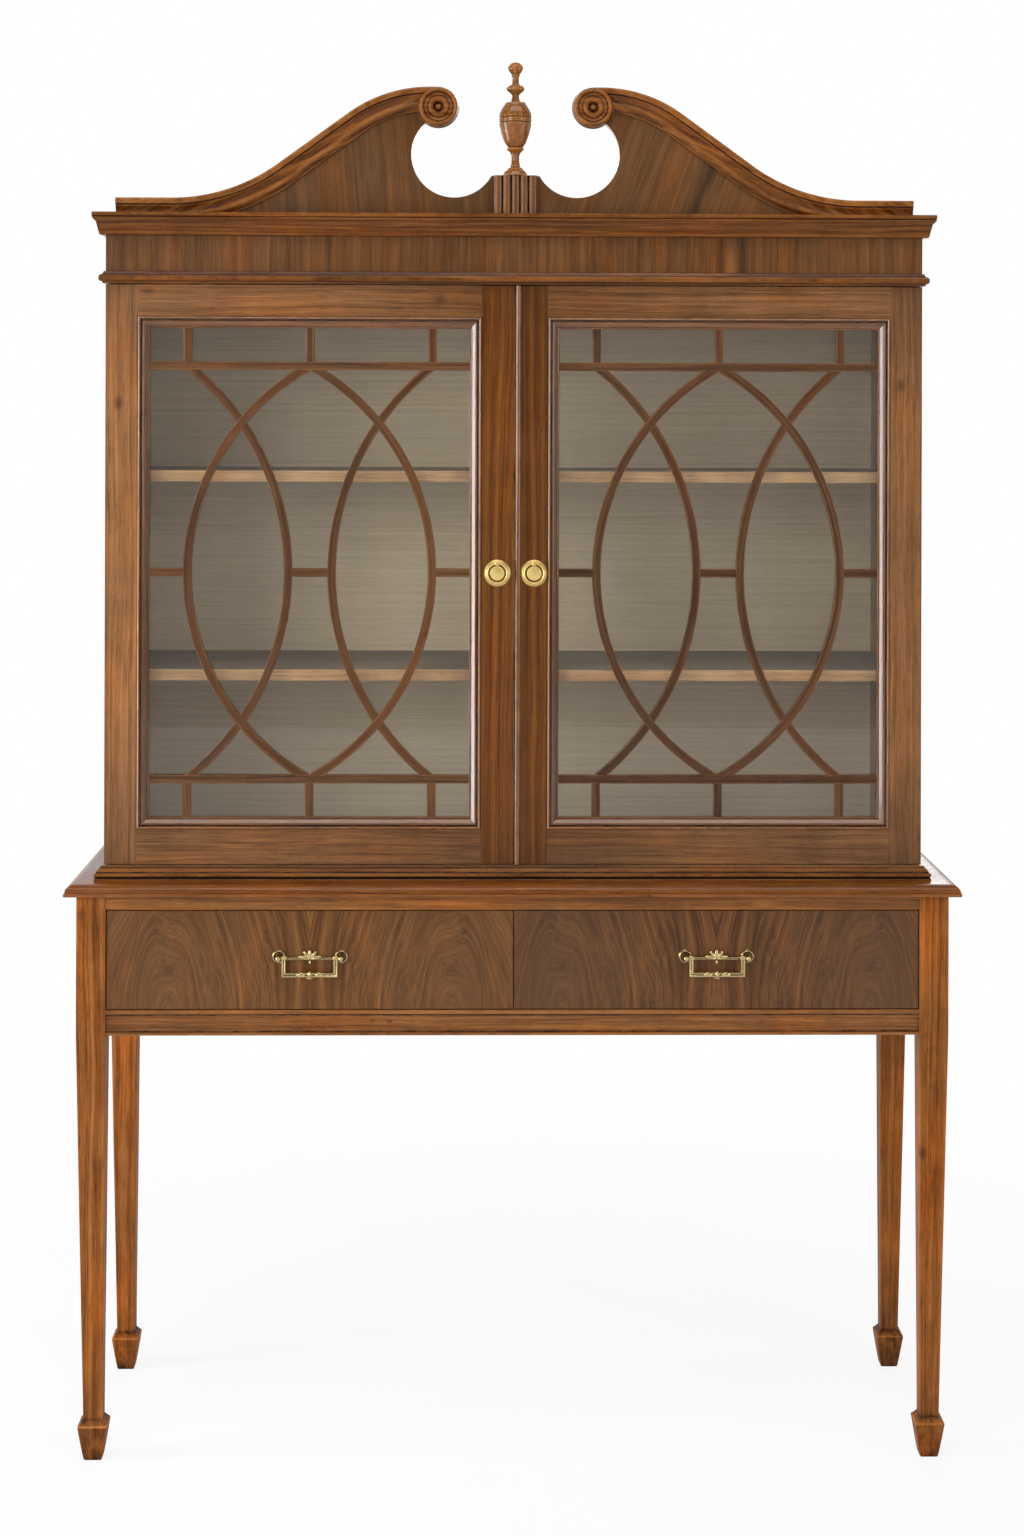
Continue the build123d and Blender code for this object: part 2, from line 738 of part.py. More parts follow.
for side, side_name in ((-1, "left"), (1, "right")):
    inner, outer = spread((side * case_inner_x, side * case_width / 2))
    with BuildPart() as case_side:
        block((inner, side_front_y, case_floor), (outer, back_y, case_roof))
        for pin_y, pin_z in pin_places:
            with BuildSketch(Plane(origin=(side * case_inner_x, pin_y, pin_z), z_dir=(side, 0, 0))):
                Circle(shelf_pin_radius + shelf_pin_clearance)
            extrude(amount=shelf_pin_depth, mode=Mode.SUBTRACT)
    save(f"case_side_{side_name}", case_side.part)

save("back_panel", board((-case_inner_x, panel_front_y, case_floor), (case_inner_x, back_y, case_roof)))

shelf_half = case_inner_x - shelf_end_clearance
shelves = []
for shelf_top in shelf_heights:
    low = (-shelf_half, shelf_front_y, shelf_top - shelf_thickness)
    shelves.append(board(low, (shelf_half, panel_front_y, shelf_top)))
save("shelves", *shelves)

with BuildPart() as shelf_pins:
    for side in (-1, 1):
        for pin_y, pin_z in pin_places:
            with BuildSketch(Plane(origin=(side * case_inner_x, pin_y, pin_z), z_dir=(side, 0, 0))):
                Circle(shelf_pin_radius)
            extrude(amount=shelf_pin_depth)
            with BuildSketch(Plane(origin=(side * case_inner_x, pin_y, pin_z), z_dir=(-side, 0, 0))):
                Circle(shelf_pin_radius)
            extrude(amount=shelf_pin_reach)
save("shelf_pins", shelf_pins.part)

frieze_inner_y = case_front_y + frieze_thickness
save(
    "frieze_front",
    board((-case_width / 2, case_front_y, frieze_bottom), (case_width / 2, frieze_inner_y, cornice_top)),
)
frieze_sides = []
for side in (-1, 1):
    inner, outer = spread((side * (case_width / 2 - frieze_thickness), side * case_width / 2))
    frieze_sides.append(board((inner, frieze_inner_y, frieze_bottom), (outer, back_y, cornice_top)))
dust_half = case_width / 2 - frieze_thickness
frieze_sides.append(
    board(
        (-dust_half, back_y - frieze_thickness, frieze_bottom),
        (dust_half, back_y, cornice_top - dust_board_thickness),
    )
)
save("frieze_sides", *frieze_sides)
save(
    "dust_board",
    board(
        (-dust_half, frieze_inner_y, cornice_top - dust_board_thickness),
        (dust_half, back_y, cornice_top),
    ),
)

# Hinge leaves fixed in the case, and the catch behind the meeting stiles
fixed_leaves = []
for side in (-1, 1):
    for face_z, inward in ((case_floor, -1), (case_roof, 1)):
        with BuildPart() as fixed_leaf:
            leaf_box(side, face_z, inward, 0)
            boss_end = face_z - inward * (door_gap - hinge_boss_clearance)
            pivot_disc(side, *spread((face_z, boss_end)), hinge_boss_radius)
            hole_low, hole_high = spread((boss_end, face_z + inward * hinge_leaf_thickness))
            pivot_disc(side, hole_low, hole_high, hinge_pin_radius + hinge_pin_clearance, Mode.SUBTRACT)
        fixed_leaves.append(fixed_leaf.part)
catch = board(
    (-catch_width / 2, side_front_y, case_roof - catch_height),
    (catch_width / 2, side_front_y + catch_depth, case_roof),
)
save("case_fittings", *fixed_leaves, catch)


# Tracery of the doors
def ribbon(ends_x, middle_x, half):
    """A flat curved bar: an arc through its middle, cut at the transoms and at the door's middle."""
    with BuildSketch() as shape:
        with BuildLine():
            ThreePointArc((ends_x, transom_z), (middle_x, 0), (ends_x, -transom_z))
        trace(line_width=bar_width)
        with Locations((half * sight_width / 4, 0)):
            Rectangle(sight_width / 2, 2 * transom_z - bar_width, mode=Mode.INTERSECT)
    return shape.sketch


outer_arcs = {half: ribbon(0, half * upright_x, half) for half in (-1, 1)}
inner_arcs = {half: ribbon(half * upright_x, half * inner_arc_reach, half) for half in (-1, 1)}


def bar(plane, x_span, z_span, cut_by=()):
    """A straight bar between two edges each way, cut back where curved bars cross it."""
    with BuildPart() as piece:
        with BuildSketch(plane):
            with Locations((sum(x_span) / 2, sum(z_span) / 2)):
                Rectangle(x_span[1] - x_span[0], z_span[1] - z_span[0])
            for shape in cut_by:
                add(shape, mode=Mode.SUBTRACT)
        extrude(amount=-bar_depth)
    return piece.part


def curved_bar(plane, shape, crossing, front_half):
    """A curved bar, halved where another crosses it, in its front or its back half."""
    lap_plane = plane if front_half else plane.offset(-bar_depth / 2)
    with BuildPart() as piece:
        with BuildSketch(plane):
            add(shape)
        extrude(amount=-bar_depth)
        with BuildSketch(lap_plane):
            add(crossing)
        extrude(amount=-bar_depth / 2, mode=Mode.SUBTRACT)
    return piece.part


def tracery(x):
    """Every bar of one door, each a solid of its own."""
    plane = front_plane(x, bar_front_y, frame_z)
    half_bar = bar_width / 2
    edge_x = sight_width / 2
    edge_z = sight_height / 2
    bars = []
    for level in (-1, 1):
        heights = spread((level * (transom_z - half_bar), level * (transom_z + half_bar)))
        bars.append(bar(plane, (-edge_x, edge_x), heights))
        for place in (-1, 0, 1):
            middle = place * upright_x
            heights = spread((level * (transom_z + half_bar), level * edge_z))
            bars.append(bar(plane, (middle - half_bar, middle + half_bar), heights))
    middle_height = (-half_bar, half_bar)
    between = [inner_arcs[-1], inner_arcs[1]]
    bars.append(bar(plane, (-inner_arc_reach, inner_arc_reach), middle_height, between))
    for half in (-1, 1):
        span = spread((half * upright_x, half * edge_x))
        bars.append(bar(plane, span, middle_height, [outer_arcs[half]]))
        bars.append(curved_bar(plane, outer_arcs[half], inner_arcs[half], False))
        bars.append(curved_bar(plane, inner_arcs[half], outer_arcs[half], True))
    return bars


# Doors
slope_low, slope_high = moulding_slope_shares
moulding_back = -glass_front_sink
moulding_fall = moulding_width - moulding_bead_width
strip_outline = (
    (0, moulding_back),
    (0, moulding_bead_rise * slope_high),
    (moulding_bead_width / 4, moulding_bead_rise),
    (moulding_bead_width * slope_high, moulding_bead_rise),
    (moulding_bead_width, 0),
    (moulding_bead_width + moulding_fall * slope_low, 0),
    (moulding_bead_width + moulding_fall * slope_high, -moulding_edge_sink * slope_high),
    (moulding_width, -moulding_edge_sink),
    (moulding_width, moulding_back),
)
glazing_back = glass_front_sink + glass_thickness
glazing_outline = (
    (0, -door_thickness),
    (0, -glazing_back),
    (glazing_bead_width, -glazing_back),
    (glazing_bead_width, -door_thickness),
)
tenon_y = case_front_y + (door_thickness - door_tenon_thickness) / 2

for side, side_name in ((-1, "left"), (1, "right")):
    centre_x = side * door_x
    hinge_edge = side * case_width / 2
    meeting_edge = side * meeting_gap / 2
    rail_spans = (
        (door_bottom, door_bottom + bottom_rail_width),
        (door_top - top_rail_width, door_top),
    )
    pull_inset = (stile_width + (meeting_bead_width if side > 0 else 0)) / 2
    pull_x = meeting_edge + side * pull_inset

    stiles = []
    for edge, inward in ((hinge_edge, -side), (meeting_edge, side)):
        inner, outer = spread((edge, edge + inward * stile_width))
        with BuildPart() as stile:
            block((inner, case_front_y, door_bottom), (outer, door_back_y, door_top))
            for rail_low, rail_high in rail_spans:
                mouth = edge + inward * stile_width
                inner, outer = spread((mouth, mouth - inward * (door_tenon_length + tenon_clearance)))
                block(
                    (inner, tenon_y - tenon_clearance, rail_low + door_tenon_shoulder - tenon_clearance),
                    (
                        outer,
                        tenon_y + door_tenon_thickness + tenon_clearance,
                        rail_high - door_tenon_shoulder + tenon_clearance,
                    ),
                    Mode.SUBTRACT,
                )
            if edge == hinge_edge:
                leaf_box(side, door_bottom, 1, leaf_clearance, Mode.SUBTRACT)
                leaf_box(side, door_top, -1, leaf_clearance, Mode.SUBTRACT)
            else:
                with BuildSketch(front_plane(pull_x, case_front_y, ring_pull_z)):
                    Circle(stud_radius + stud_clearance)
                extrude(amount=-door_thickness, mode=Mode.SUBTRACT)
        stiles.append(stile.part)
    save(f"door_{side_name}_stiles", *stiles)

    rails = []
    for rail_low, rail_high in rail_spans:
        half = frame_width / 2
        with BuildPart() as rail:
            block((centre_x - half, case_front_y, rail_low), (centre_x + half, door_back_y, rail_high))
            half = half + door_tenon_length
            block(
                (centre_x - half, tenon_y, rail_low + door_tenon_shoulder),
                (centre_x + half, tenon_y + door_tenon_thickness, rail_high - door_tenon_shoulder),
            )
        rails.append(rail.part)
    save(f"door_{side_name}_rails", *rails)

    save(f"door_{side_name}_moulding", *frame_strips(centre_x, case_front_y, strip_outline))
    save(f"door_{side_name}_tracery", *tracery(centre_x))
    save(f"door_{side_name}_glazing_beads", *frame_strips(centre_x, case_front_y, glazing_outline))
    pane_w = frame_width / 2 - glass_clearance
    pane_h = frame_height / 2 - glass_clearance
    pane_y = case_front_y + glass_front_sink
    save(
        f"door_{side_name}_glass",
        board(
            (centre_x - pane_w, pane_y, frame_z - pane_h),
            (centre_x + pane_w, pane_y + glass_thickness, frame_z + pane_h),
        ),
    )

    # Hinge leaves with their pins, and the strike plate of the catch
    metal = []
    for face_z, inward in ((door_bottom, 1), (door_top, -1)):
        with BuildPart() as door_leaf:
            leaf_box(side, face_z, inward, 0)
            pin_end = face_z - inward * (door_gap + hinge_leaf_thickness)
            pivot_disc(side, *spread((face_z, pin_end)), hinge_pin_radius)
        metal.append(door_leaf.part)
    strike_edge = meeting_edge + side * strike_offset
    inner, outer = spread((strike_edge, strike_edge + side * strike_width))
    metal.append(
        board(
            (inner, door_back_y, door_top - strike_height),
            (outer, door_back_y + strike_thickness, door_top),
        )
    )
    save(f"door_{side_name}_fittings", *metal)

    # Ring pull: a rose with a boss, an ear and a stud, its nut, and the ring
    plate = ring_plate_thickness
    boss = ring_boss_radius
    rose = turned(
        pull_x,
        case_front_y,
        ring_pull_z,
        (
            (0, 0),
            (ring_plate_radius, 0),
            (ring_plate_radius, plate),
            (ring_plate_radius - ring_rim_radius, plate + ring_rim_radius),
            (ring_plate_radius - 2 * ring_rim_radius, plate),
            (boss, plate),
            (boss, (plate + ring_boss_height) / 2),
            (boss - ring_rim_radius, ring_boss_height),
            (0, ring_boss_height),
        ),
    )
    ear_hole = ring_wire_radius + ring_hole_clearance
    ear_half = ear_hole + ring_ear_wall
    ear_z = ring_pull_z + ring_radius
    ear_y = case_front_y - ring_reach
    with BuildPart() as ring_rose:
        add(rose)
        block(
            (pull_x - ring_ear_width / 2, ear_y - ear_half, ear_z - ear_half),
            (pull_x + ring_ear_width / 2, case_front_y - plate, ear_z + ear_half),
        )
        with BuildSketch(Plane(origin=(pull_x, ear_y, ear_z), z_dir=(1, 0, 0))):
            Circle(ear_hole)
        extrude(amount=ring_ear_width, both=True, mode=Mode.SUBTRACT)
        with BuildSketch(front_plane(pull_x, case_front_y, ring_pull_z)):
            Circle(stud_radius)
        extrude(amount=-door_thickness - nut_thickness)
    with BuildPart() as ring_nut:
        with BuildSketch(front_plane(pull_x, door_back_y, ring_pull_z)):
            RegularPolygon(nut_width / 2, 6, major_radius=False)
            Circle(stud_radius, mode=Mode.SUBTRACT)
        extrude(amount=-nut_thickness)
    save(f"door_{side_name}_pull_rose", ring_rose.part, ring_nut.part)

    with BuildPart() as ring:
        with BuildSketch(Plane(origin=(pull_x, ear_y, ring_pull_z), x_dir=(1, 0, 0), z_dir=(0, 0, 1))):
            with Locations((ring_radius, 0)):
                Circle(ring_wire_radius)
        revolve(axis=Axis((pull_x, ear_y, ring_pull_z), (0, 1, 0)))
    save(f"door_{side_name}_ring", ring.part)

# The bead on the right door that covers the meeting line
with BuildPart() as meeting_bead:
    bead_x = (meeting_gap + meeting_bead_width) / 2
    with BuildSketch(Plane((bead_x, case_front_y, door_bottom))):
        with BuildLine():
            half = meeting_bead_width / 2
            Line((-half, 0), (half, 0))
            ThreePointArc((half, 0), (0, -meeting_bead_rise), (-half, 0))
        make_face()
    extrude(amount=door_height)
save("door_right_meeting_bead", meeting_bead.part)


# Pediment
def neck_points(drop):
    """Points along the swan-neck line, lowered square to it: distance out and height on the cornice."""
    turn = radians(neck_slope)
    crown_start_u = crest_offset + neck_crown_radius * sin(turn)
    crown_start_h = crest_height - neck_crown_radius * (1 - cos(turn))
    hollow_end_h = neck_end_height + neck_hollow_radius * (1 - cos(turn))
    hollow_end_u = crown_start_u + (crown_start_h - hollow_end_h) / tan(turn)
    hollow_start_u = hollow_end_u + neck_hollow_radius * sin(turn)
    hollow = neck_hollow_radius + drop
    crown = neck_crown_radius - drop
    centre_h = neck_end_height + neck_hollow_radius
    base_h = crest_height - neck_crown_radius
    return {
        "end": (pediment_half_width, neck_end_height - drop),
        "hollow_start": (hollow_start_u, neck_end_height - drop),
        "hollow_middle": (hollow_start_u - hollow * sin(turn / 2), centre_h - hollow * cos(turn / 2)),
        "hollow_end": (hollow_end_u - drop * sin(turn), hollow_end_h - drop * cos(turn)),
        "crown_start": (crown_start_u - drop * sin(turn), crown_start_h - drop * cos(turn)),
        "crown_middle": (crest_offset + crown * sin(turn / 2), base_h + crown * cos(turn / 2)),
        "crest": (crest_offset, crest_height - drop),
        "tip": (rosette_offset, crest_height - drop),
    }


def neck_line(drop):
    """The swan-neck line in the line that is being built: flat, hollow arc, straight, crown arc, flat."""
    p = neck_points(drop)
    Line(p["end"], p["hollow_start"])
    ThreePointArc(p["hollow_start"], p["hollow_middle"], p["hollow_end"])
    Line(p["hollow_end"], p["crown_start"])
    ThreePointArc(p["crown_start"], p["crown_middle"], p["crest"])
    Line(p["crest"], p["tip"])


def pediment_plane(side):
    """The front of the pediment boards, its X outwards from the middle and its Y up."""
    return Plane(origin=(0, case_front_y, cornice_top), x_dir=(side, 0, 0), z_dir=(0, -side, 0))


swan_necks = []
for side, side_name in ((-1, "left"), (1, "right")):
    # The plane's normal points forwards on the right and back on the left
    forward = side
    tip_u, tip_h = neck_points(0)["tip"]
    with BuildPart() as pediment_board:
        with BuildSketch(pediment_plane(side)):
            with BuildLine():
                neck_line(0)
                Polyline(
                    (tip_u, tip_h),
                    (tip_u, block_height),
                    (block_width / 2, block_height),
                    (block_width / 2, 0),
                    (pediment_half_width, 0),
                    (pediment_half_width, neck_end_height),
                )
            make_face()
            with Locations((bite_offset, bite_height)):
                Circle(bite_radius, mode=Mode.SUBTRACT)
            with Locations((rosette_offset, rosette_height)):
                Circle(rosette_seat_radius)
        extrude(amount=-forward * pediment_thickness)
    save(f"pediment_board_{side_name}", pediment_board.part)

    with BuildPart() as swan_neck:
        for width, reach in ((neck_width, neck_reach), (neck_bead_width, neck_bead_reach)):
            with BuildSketch(pediment_plane(side)):
                with BuildLine():
                    neck_line(0)
                    neck_line(width)
                    Line(neck_points(0)["tip"], neck_points(width)["tip"])
                    Line(neck_points(0)["end"], neck_points(width)["end"])
                make_face()
                with Locations((rosette_offset, rosette_height)):
                    Circle(rosette_radius + rosette_clearance, mode=Mode.SUBTRACT)
            extrude(amount=forward * reach)
        split(bisect_by=Plane((0, 0, cornice_top)), keep=Keep.TOP)
    swan_necks.append(swan_neck.part)
save("swan_necks", *swan_necks)

rosettes = []
for side in (-1, 1):
    rings = [
        (rosette_radius * radius_share, rosette_reach * reach_share)
        for radius_share, reach_share in zip(rosette_radius_shares, rosette_reach_shares)
    ]
    rosettes.append(
        turned(
            side * rosette_offset,
            case_front_y,
            cornice_top + rosette_height,
            [(0, 0), (rosette_radius, 0)] + rings,
        )
    )
save("rosettes", *rosettes)

# Reeded block that carries the finial
block_front_y = case_front_y - block_reach
finial_y = block_front_y + block_depth / 2
block_top = cornice_top + block_height
with BuildPart() as finial_block:
    block(
        (-block_width / 2, block_front_y + reed_rise, cornice_top),
        (block_width / 2, block_front_y + block_depth, block_top),
    )
    reed_width = block_width / reed_count
    with BuildSketch(Plane((0, block_front_y + reed_rise, cornice_top))):
        with GridLocations(reed_width, 0, reed_count, 1):
            with BuildLine():
                Line((-reed_width / 2, 0), (reed_width / 2, 0))
                ThreePointArc((reed_width / 2, 0), (0, -reed_rise), (-reed_width / 2, 0))
            make_face()
    extrude(amount=block_height)
    with Locations((0, finial_y, block_top - (finial_dowel_depth + dowel_clearance) / 2)):
        Cylinder(
            finial_dowel_radius + dowel_clearance,
            finial_dowel_depth + dowel_clearance,
            mode=Mode.SUBTRACT,
        )
save("finial_block", finial_block.part)

with BuildPart() as finial:
    outline = [
        (finial_radius * radius_share, finial_height * rise_share)
        for rise_share, radius_share in zip(finial_rise_shares, finial_radius_shares)
    ]
    with BuildSketch(front_plane(0, finial_y, block_top)):
        with BuildLine():
            Polyline(
                (0, -finial_dowel_depth),
                (finial_dowel_radius, -finial_dowel_depth),
                (finial_dowel_radius, 0),
                *outline,
                close=True,
            )
        make_face()
    revolve(axis=Axis((0, finial_y, block_top), (0, 0, 1)))
save("finial", finial.part)
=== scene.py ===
# %% [markdown]
# # A glazed display cabinet on a stand
#
# The object is a walnut cabinet: tapered legs with spade feet carry two drawers, a glazed case with
# curved glazing bars stands on top, and a broken swan-neck pediment with an urn finial crowns it. The
# CAD frame gives the sizes and the joints. This lesson gives each piece the shape and the finish that
# the maker's tools gave it.

# %% Load the frame
import math

import bpy
import numpy as np
from mathutils import Matrix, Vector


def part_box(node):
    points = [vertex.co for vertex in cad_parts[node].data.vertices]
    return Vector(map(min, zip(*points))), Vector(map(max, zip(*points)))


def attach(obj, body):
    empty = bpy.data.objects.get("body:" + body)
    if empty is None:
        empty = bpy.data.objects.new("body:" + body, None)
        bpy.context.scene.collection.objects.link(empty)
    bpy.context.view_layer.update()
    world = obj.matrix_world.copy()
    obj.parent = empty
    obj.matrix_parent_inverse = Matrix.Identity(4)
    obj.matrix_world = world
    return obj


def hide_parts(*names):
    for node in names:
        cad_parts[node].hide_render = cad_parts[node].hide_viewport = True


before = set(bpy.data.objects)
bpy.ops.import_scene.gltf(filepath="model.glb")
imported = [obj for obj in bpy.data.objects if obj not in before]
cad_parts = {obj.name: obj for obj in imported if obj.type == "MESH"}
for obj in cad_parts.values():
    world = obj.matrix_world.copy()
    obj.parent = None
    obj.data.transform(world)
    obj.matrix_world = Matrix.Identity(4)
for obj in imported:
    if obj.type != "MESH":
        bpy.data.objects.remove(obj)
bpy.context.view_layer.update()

MM = 0.001


def box(node):
    """The lowest and the highest corner of a CAD node, in metres, as arrays."""
    low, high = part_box(node)
    return np.array(low), np.array(high)


# %% [markdown]
# ## Surfaces from arrays
#
# Every new piece is a closed surface drawn on a grid of points. Blender's own cubes and cylinders could
# make the plain boards, but a grid is one numpy array, so any surface is worked out at once, and each
# point can carry more than its place: where it lay in the log that the wood was sawn from, how far it
# is worn and dirtied and how much painted shade and highlight it has, and how light the board is. Points
# that fall on the same place are joined, which closes seams and poles, and the faces are turned so that
# they look outwards.


# %% Grids and shells
SAME_PLACE = 1e-7


def grid_faces(rows, columns):
    """The faces of a grid: each joins a point, its right neighbour and the two in the next row."""
    first = np.arange(rows - 1)[:, None] * columns + np.arange(columns - 1)
    return np.stack([first, first + 1, first + columns + 1, first + columns], -1).reshape(-1, 4)


def closed(grid):
    """A grid whose first column comes again at its end, so that it closes round."""
    return np.concatenate([grid, grid[:, :1]], 1)


def shell(points, grain, wear_and_shade=0.0, tone=0.0):
    """A closed surface from a grid: points in one place become one, and faces turn outwards.

    The volume is a sixth of the sum of each corner times the cross product of the next two. If it is
    negative the faces look inwards and are reversed.
    """
    rows, columns = points.shape[:2]
    flat = points.reshape(-1, 3)
    _, first, same = np.unique(np.round(flat / SAME_PLACE), axis=0, return_index=True, return_inverse=True)
    faces = same.reshape(-1)[grid_faces(rows, columns)]
    flat = flat[first]
    corners = (flat - flat.mean(0))[faces]
    crosses = np.cross(corners[:, 1], corners[:, 2]) + np.cross(corners[:, 2], corners[:, 3])
    if (corners[:, 0] * crosses).sum() < 0:
        faces = faces[:, ::-1]
    return {
        "points": flat,
        "faces": faces,
        "grain": np.broadcast_to(grain, points.shape).reshape(-1, 3)[first],
        "wear_and_shade": np.broadcast_to(wear_and_shade, (rows, columns)).reshape(-1)[first],
        "tone": np.full(len(flat), tone),
    }


print("a grid of 3 by 4 points has", len(grid_faces(3, 4)), "faces")


# %% From shells to a piece
SHARP_EDGE = math.radians(38)
POINT_VALUES = (("grain", "FLOAT_VECTOR", "vector"), ("wear_and_shade", "FLOAT", "value"), ("tone", "FLOAT", "value"))


def mesh_of(name, shells):
    """One mesh from shells laid end to end. A face with one of its four corners twice is a triangle."""
    counts = [len(s["points"]) for s in shells]
    starts = np.cumsum(counts) - counts
    points = np.concatenate([s["points"] for s in shells])
    faces = np.concatenate([s["faces"] + start for s, start in zip(shells, starts)])
    repeated = faces == np.roll(faces, -1, axis=1)
    quads = faces[~repeated.any(1)]
    thin = repeated.sum(1) == 1
    triangles = faces[thin][~repeated[thin]].reshape(-1, 3)
    loops = np.concatenate([quads.ravel(), triangles.ravel()]).astype(np.int32)
    sizes = np.repeat([4, 3], [len(quads), len(triangles)])
    mesh = bpy.data.meshes.new(name)
    mesh.vertices.add(len(points))
    mesh.loops.add(len(loops))
    mesh.polygons.add(len(sizes))
    mesh.vertices.foreach_set("co", points.astype(np.float32).ravel())
    mesh.loops.foreach_set("vertex_index", loops)
    mesh.polygons.foreach_set("loop_start", (np.cumsum(sizes) - sizes).astype(np.int32))
    mesh.update(calc_edges=True)
    for key, kind, field in POINT_VALUES:
        values = np.concatenate([s[key] for s in shells]).astype(np.float32)
        mesh.attributes.new(key, kind, "POINT").data.foreach_set(field, values.ravel())
    mesh.shade_smooth()
    mesh.set_sharp_from_angle(angle=SHARP_EDGE)
    return mesh


def piece(name, shells, material, body="cabinet", stands_for=()):
    """One object from closed shells, which moves with a body and stands for CAD nodes."""
    mesh = mesh_of(name, shells)
    mesh.materials.append(material)
    made = bpy.data.objects.new(name, mesh)
    bpy.context.scene.collection.objects.link(made)
    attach(made, body)
    if stands_for:
        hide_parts(*stands_for)
    print(name, len(mesh.vertices), "points,", len(mesh.polygons), "faces")
    return made


# %% [markdown]
# ## Four ways to draw a shell
#
# A board or a leg is a stack of rounded rectangles along an axis. A moulding is a profile carried along
# a path, as a plane or a scratch stock cuts it. A turned piece is an outline spun round an axis, as on
# a lathe. A pebble is a squeezed ball, for the cast leaves and buds of the pulls. Profiles are tables
# in millimetres with a third column for wear and painted light: above zero is rubbed bright, partly as
# wear and partly as a painted highlight on the rounds, and below zero is painted shade in the hollows,
# which also hold some old polish and dust.


# %% Stacks and boards
CORNER_TURNS = np.radians(np.arange(4)[:, None] * 90 + np.array([0, 0, 30, 60, 90, 90]))
CORNER_SLIDES = np.array([-1, 0, 0, 0, 0, 1])
CORNER_WEAR = np.tile([0, 0.5, 1, 1, 0.5, 0], 4)
AROUND = CORNER_TURNS.size
FLAT_HOLD = 0.6


def stack(levels, order, log, wear=0.0, wear_and_shade=0.0, tone=0.0):
    """Rounded rectangles along an axis, closed at both ends on their middles.

    Each level is (place along, centre across, centre deep, half across, half deep, corner radius). A
    point is the corner's own centre plus the radius times (cos, sin) of its turn, and one more point
    beside each arc holds the flat face flat. Order gives the axes along, across and deep. The log place
    is the same three lengths measured from a corner of the log.
    """
    along, mid_b, mid_c, half_b, half_c, radius = (np.asarray(levels, float).T * MM)[:, :, None, None]
    cos, sin = np.cos(CORNER_TURNS), np.sin(CORNER_TURNS)
    side_b = np.array([1, -1, -1, 1])[:, None]
    side_c = np.array([1, 1, -1, -1])[:, None]
    hold = FLAT_HOLD * radius * CORNER_SLIDES
    across = mid_b + side_b * (half_b - radius) + radius * cos - hold * sin
    deep = mid_c + side_c * (half_c - radius) + radius * sin + hold * cos
    points = np.zeros((len(levels), AROUND, 3))
    points[..., order[0]] = along.reshape(-1, 1)
    points[..., order[1]] = across.reshape(len(levels), AROUND)
    points[..., order[2]] = deep.reshape(len(levels), AROUND)
    points = closed(points)
    middles = points[[0, -1]].mean(1, keepdims=True).repeat(AROUND + 1, 1)
    points = np.concatenate([middles[:1], points, middles[1:]])
    wear_and_shade = np.broadcast_to(wear_and_shade, len(levels))[:, None] + wear * np.append(CORNER_WEAR, 0)
    wear_and_shade = np.concatenate([wear_and_shade[:1], wear_and_shade, wear_and_shade[-1:]])
    return shell(points, points[..., list(order)] + np.asarray(log), wear_and_shade, tone)


def board(low, high, run, ease=1.2, log=(0, 0.2, 0), wear=0.25, tone=0.0):
    """A board between two corners, in metres, with eased edges: near each end the rectangle draws in
    along a quarter circle, by ease * (1 - sin) at ease * (1 - cos) from the end. Run is the axis of the
    grain, and the wider of the other two is the one across."""
    low, high = np.asarray(low) / MM, np.asarray(high) / MM
    across, deep = sorted((i for i in range(3) if i != run), key=lambda i: low[i] - high[i])
    turn = np.radians([0, 30, 60, 90, 90])
    inset = ease * (1 - np.sin(turn))
    step = ease * (1 - np.cos(turn)) + np.array([0, 0, 0, 0, FLAT_HOLD * ease])
    inset = np.concatenate([inset, inset[::-1]])
    place = np.concatenate([low[run] + step, (high[run] - step)[::-1]])
    middle, half = (low + high) / 2, (high - low) / 2
    mid_b, mid_c = np.full(len(place), middle[across]), np.full(len(place), middle[deep])
    levels = np.stack([place, mid_b, mid_c, half[across] - inset, half[deep] - inset, ease - inset], -1)
    order = (run, across, deep)
    return stack(levels, order, np.asarray(log) - middle[list(order)] * MM, wear, 0.0, tone)


print(AROUND, "points round each rectangle of a stack")

# %% Carried profiles
FORWARD, UPWARD = np.array([0, -1.0, 0]), np.array([0, 0, 1.0])


def carry(profile, places, outs, ups, log=(0, 0.2, 0), tone=0.0, ring=False):
    """A profile along a path: each point is place + out * u + up * v, with u and v from the profile.

    Open paths close on the middle of their end sections. A ring joins its end to its start.
    """
    profile = np.asarray(profile, float)
    places, outs, ups = (np.asarray(a, float) for a in (places, outs, ups))
    u, v = profile[:, 0] * MM, profile[:, 1] * MM
    points = places[:, None] + outs[:, None] * u[:, None] + ups[:, None] * v[:, None]
    lengths = np.linalg.norm(np.diff(places, axis=0), axis=1)
    along = np.concatenate([[0], np.cumsum(lengths)])
    ways = np.gradient(places, axis=0)
    ways = ways / np.linalg.norm(ways, axis=1, keepdims=True)
    skew = (outs * ways).sum(1)[:, None] * u
    grain = np.stack(np.broadcast_arrays(along[:, None] + skew, u, v), -1) + np.asarray(log)
    wear_and_shade = np.broadcast_to(profile[:, 2], points.shape[:2])
    if not ring:
        middles = points[[0, -1]].mean(1, keepdims=True).repeat(len(u), 1)
        points = np.concatenate([middles[:1], points, middles[1:]])
        grain = np.concatenate([grain[:1], grain, grain[-1:]])
        wear_and_shade = np.concatenate([wear_and_shade[:1], wear_and_shade, wear_and_shade[-1:]])
    return shell(closed(points), closed(grain), closed(wear_and_shade), tone)


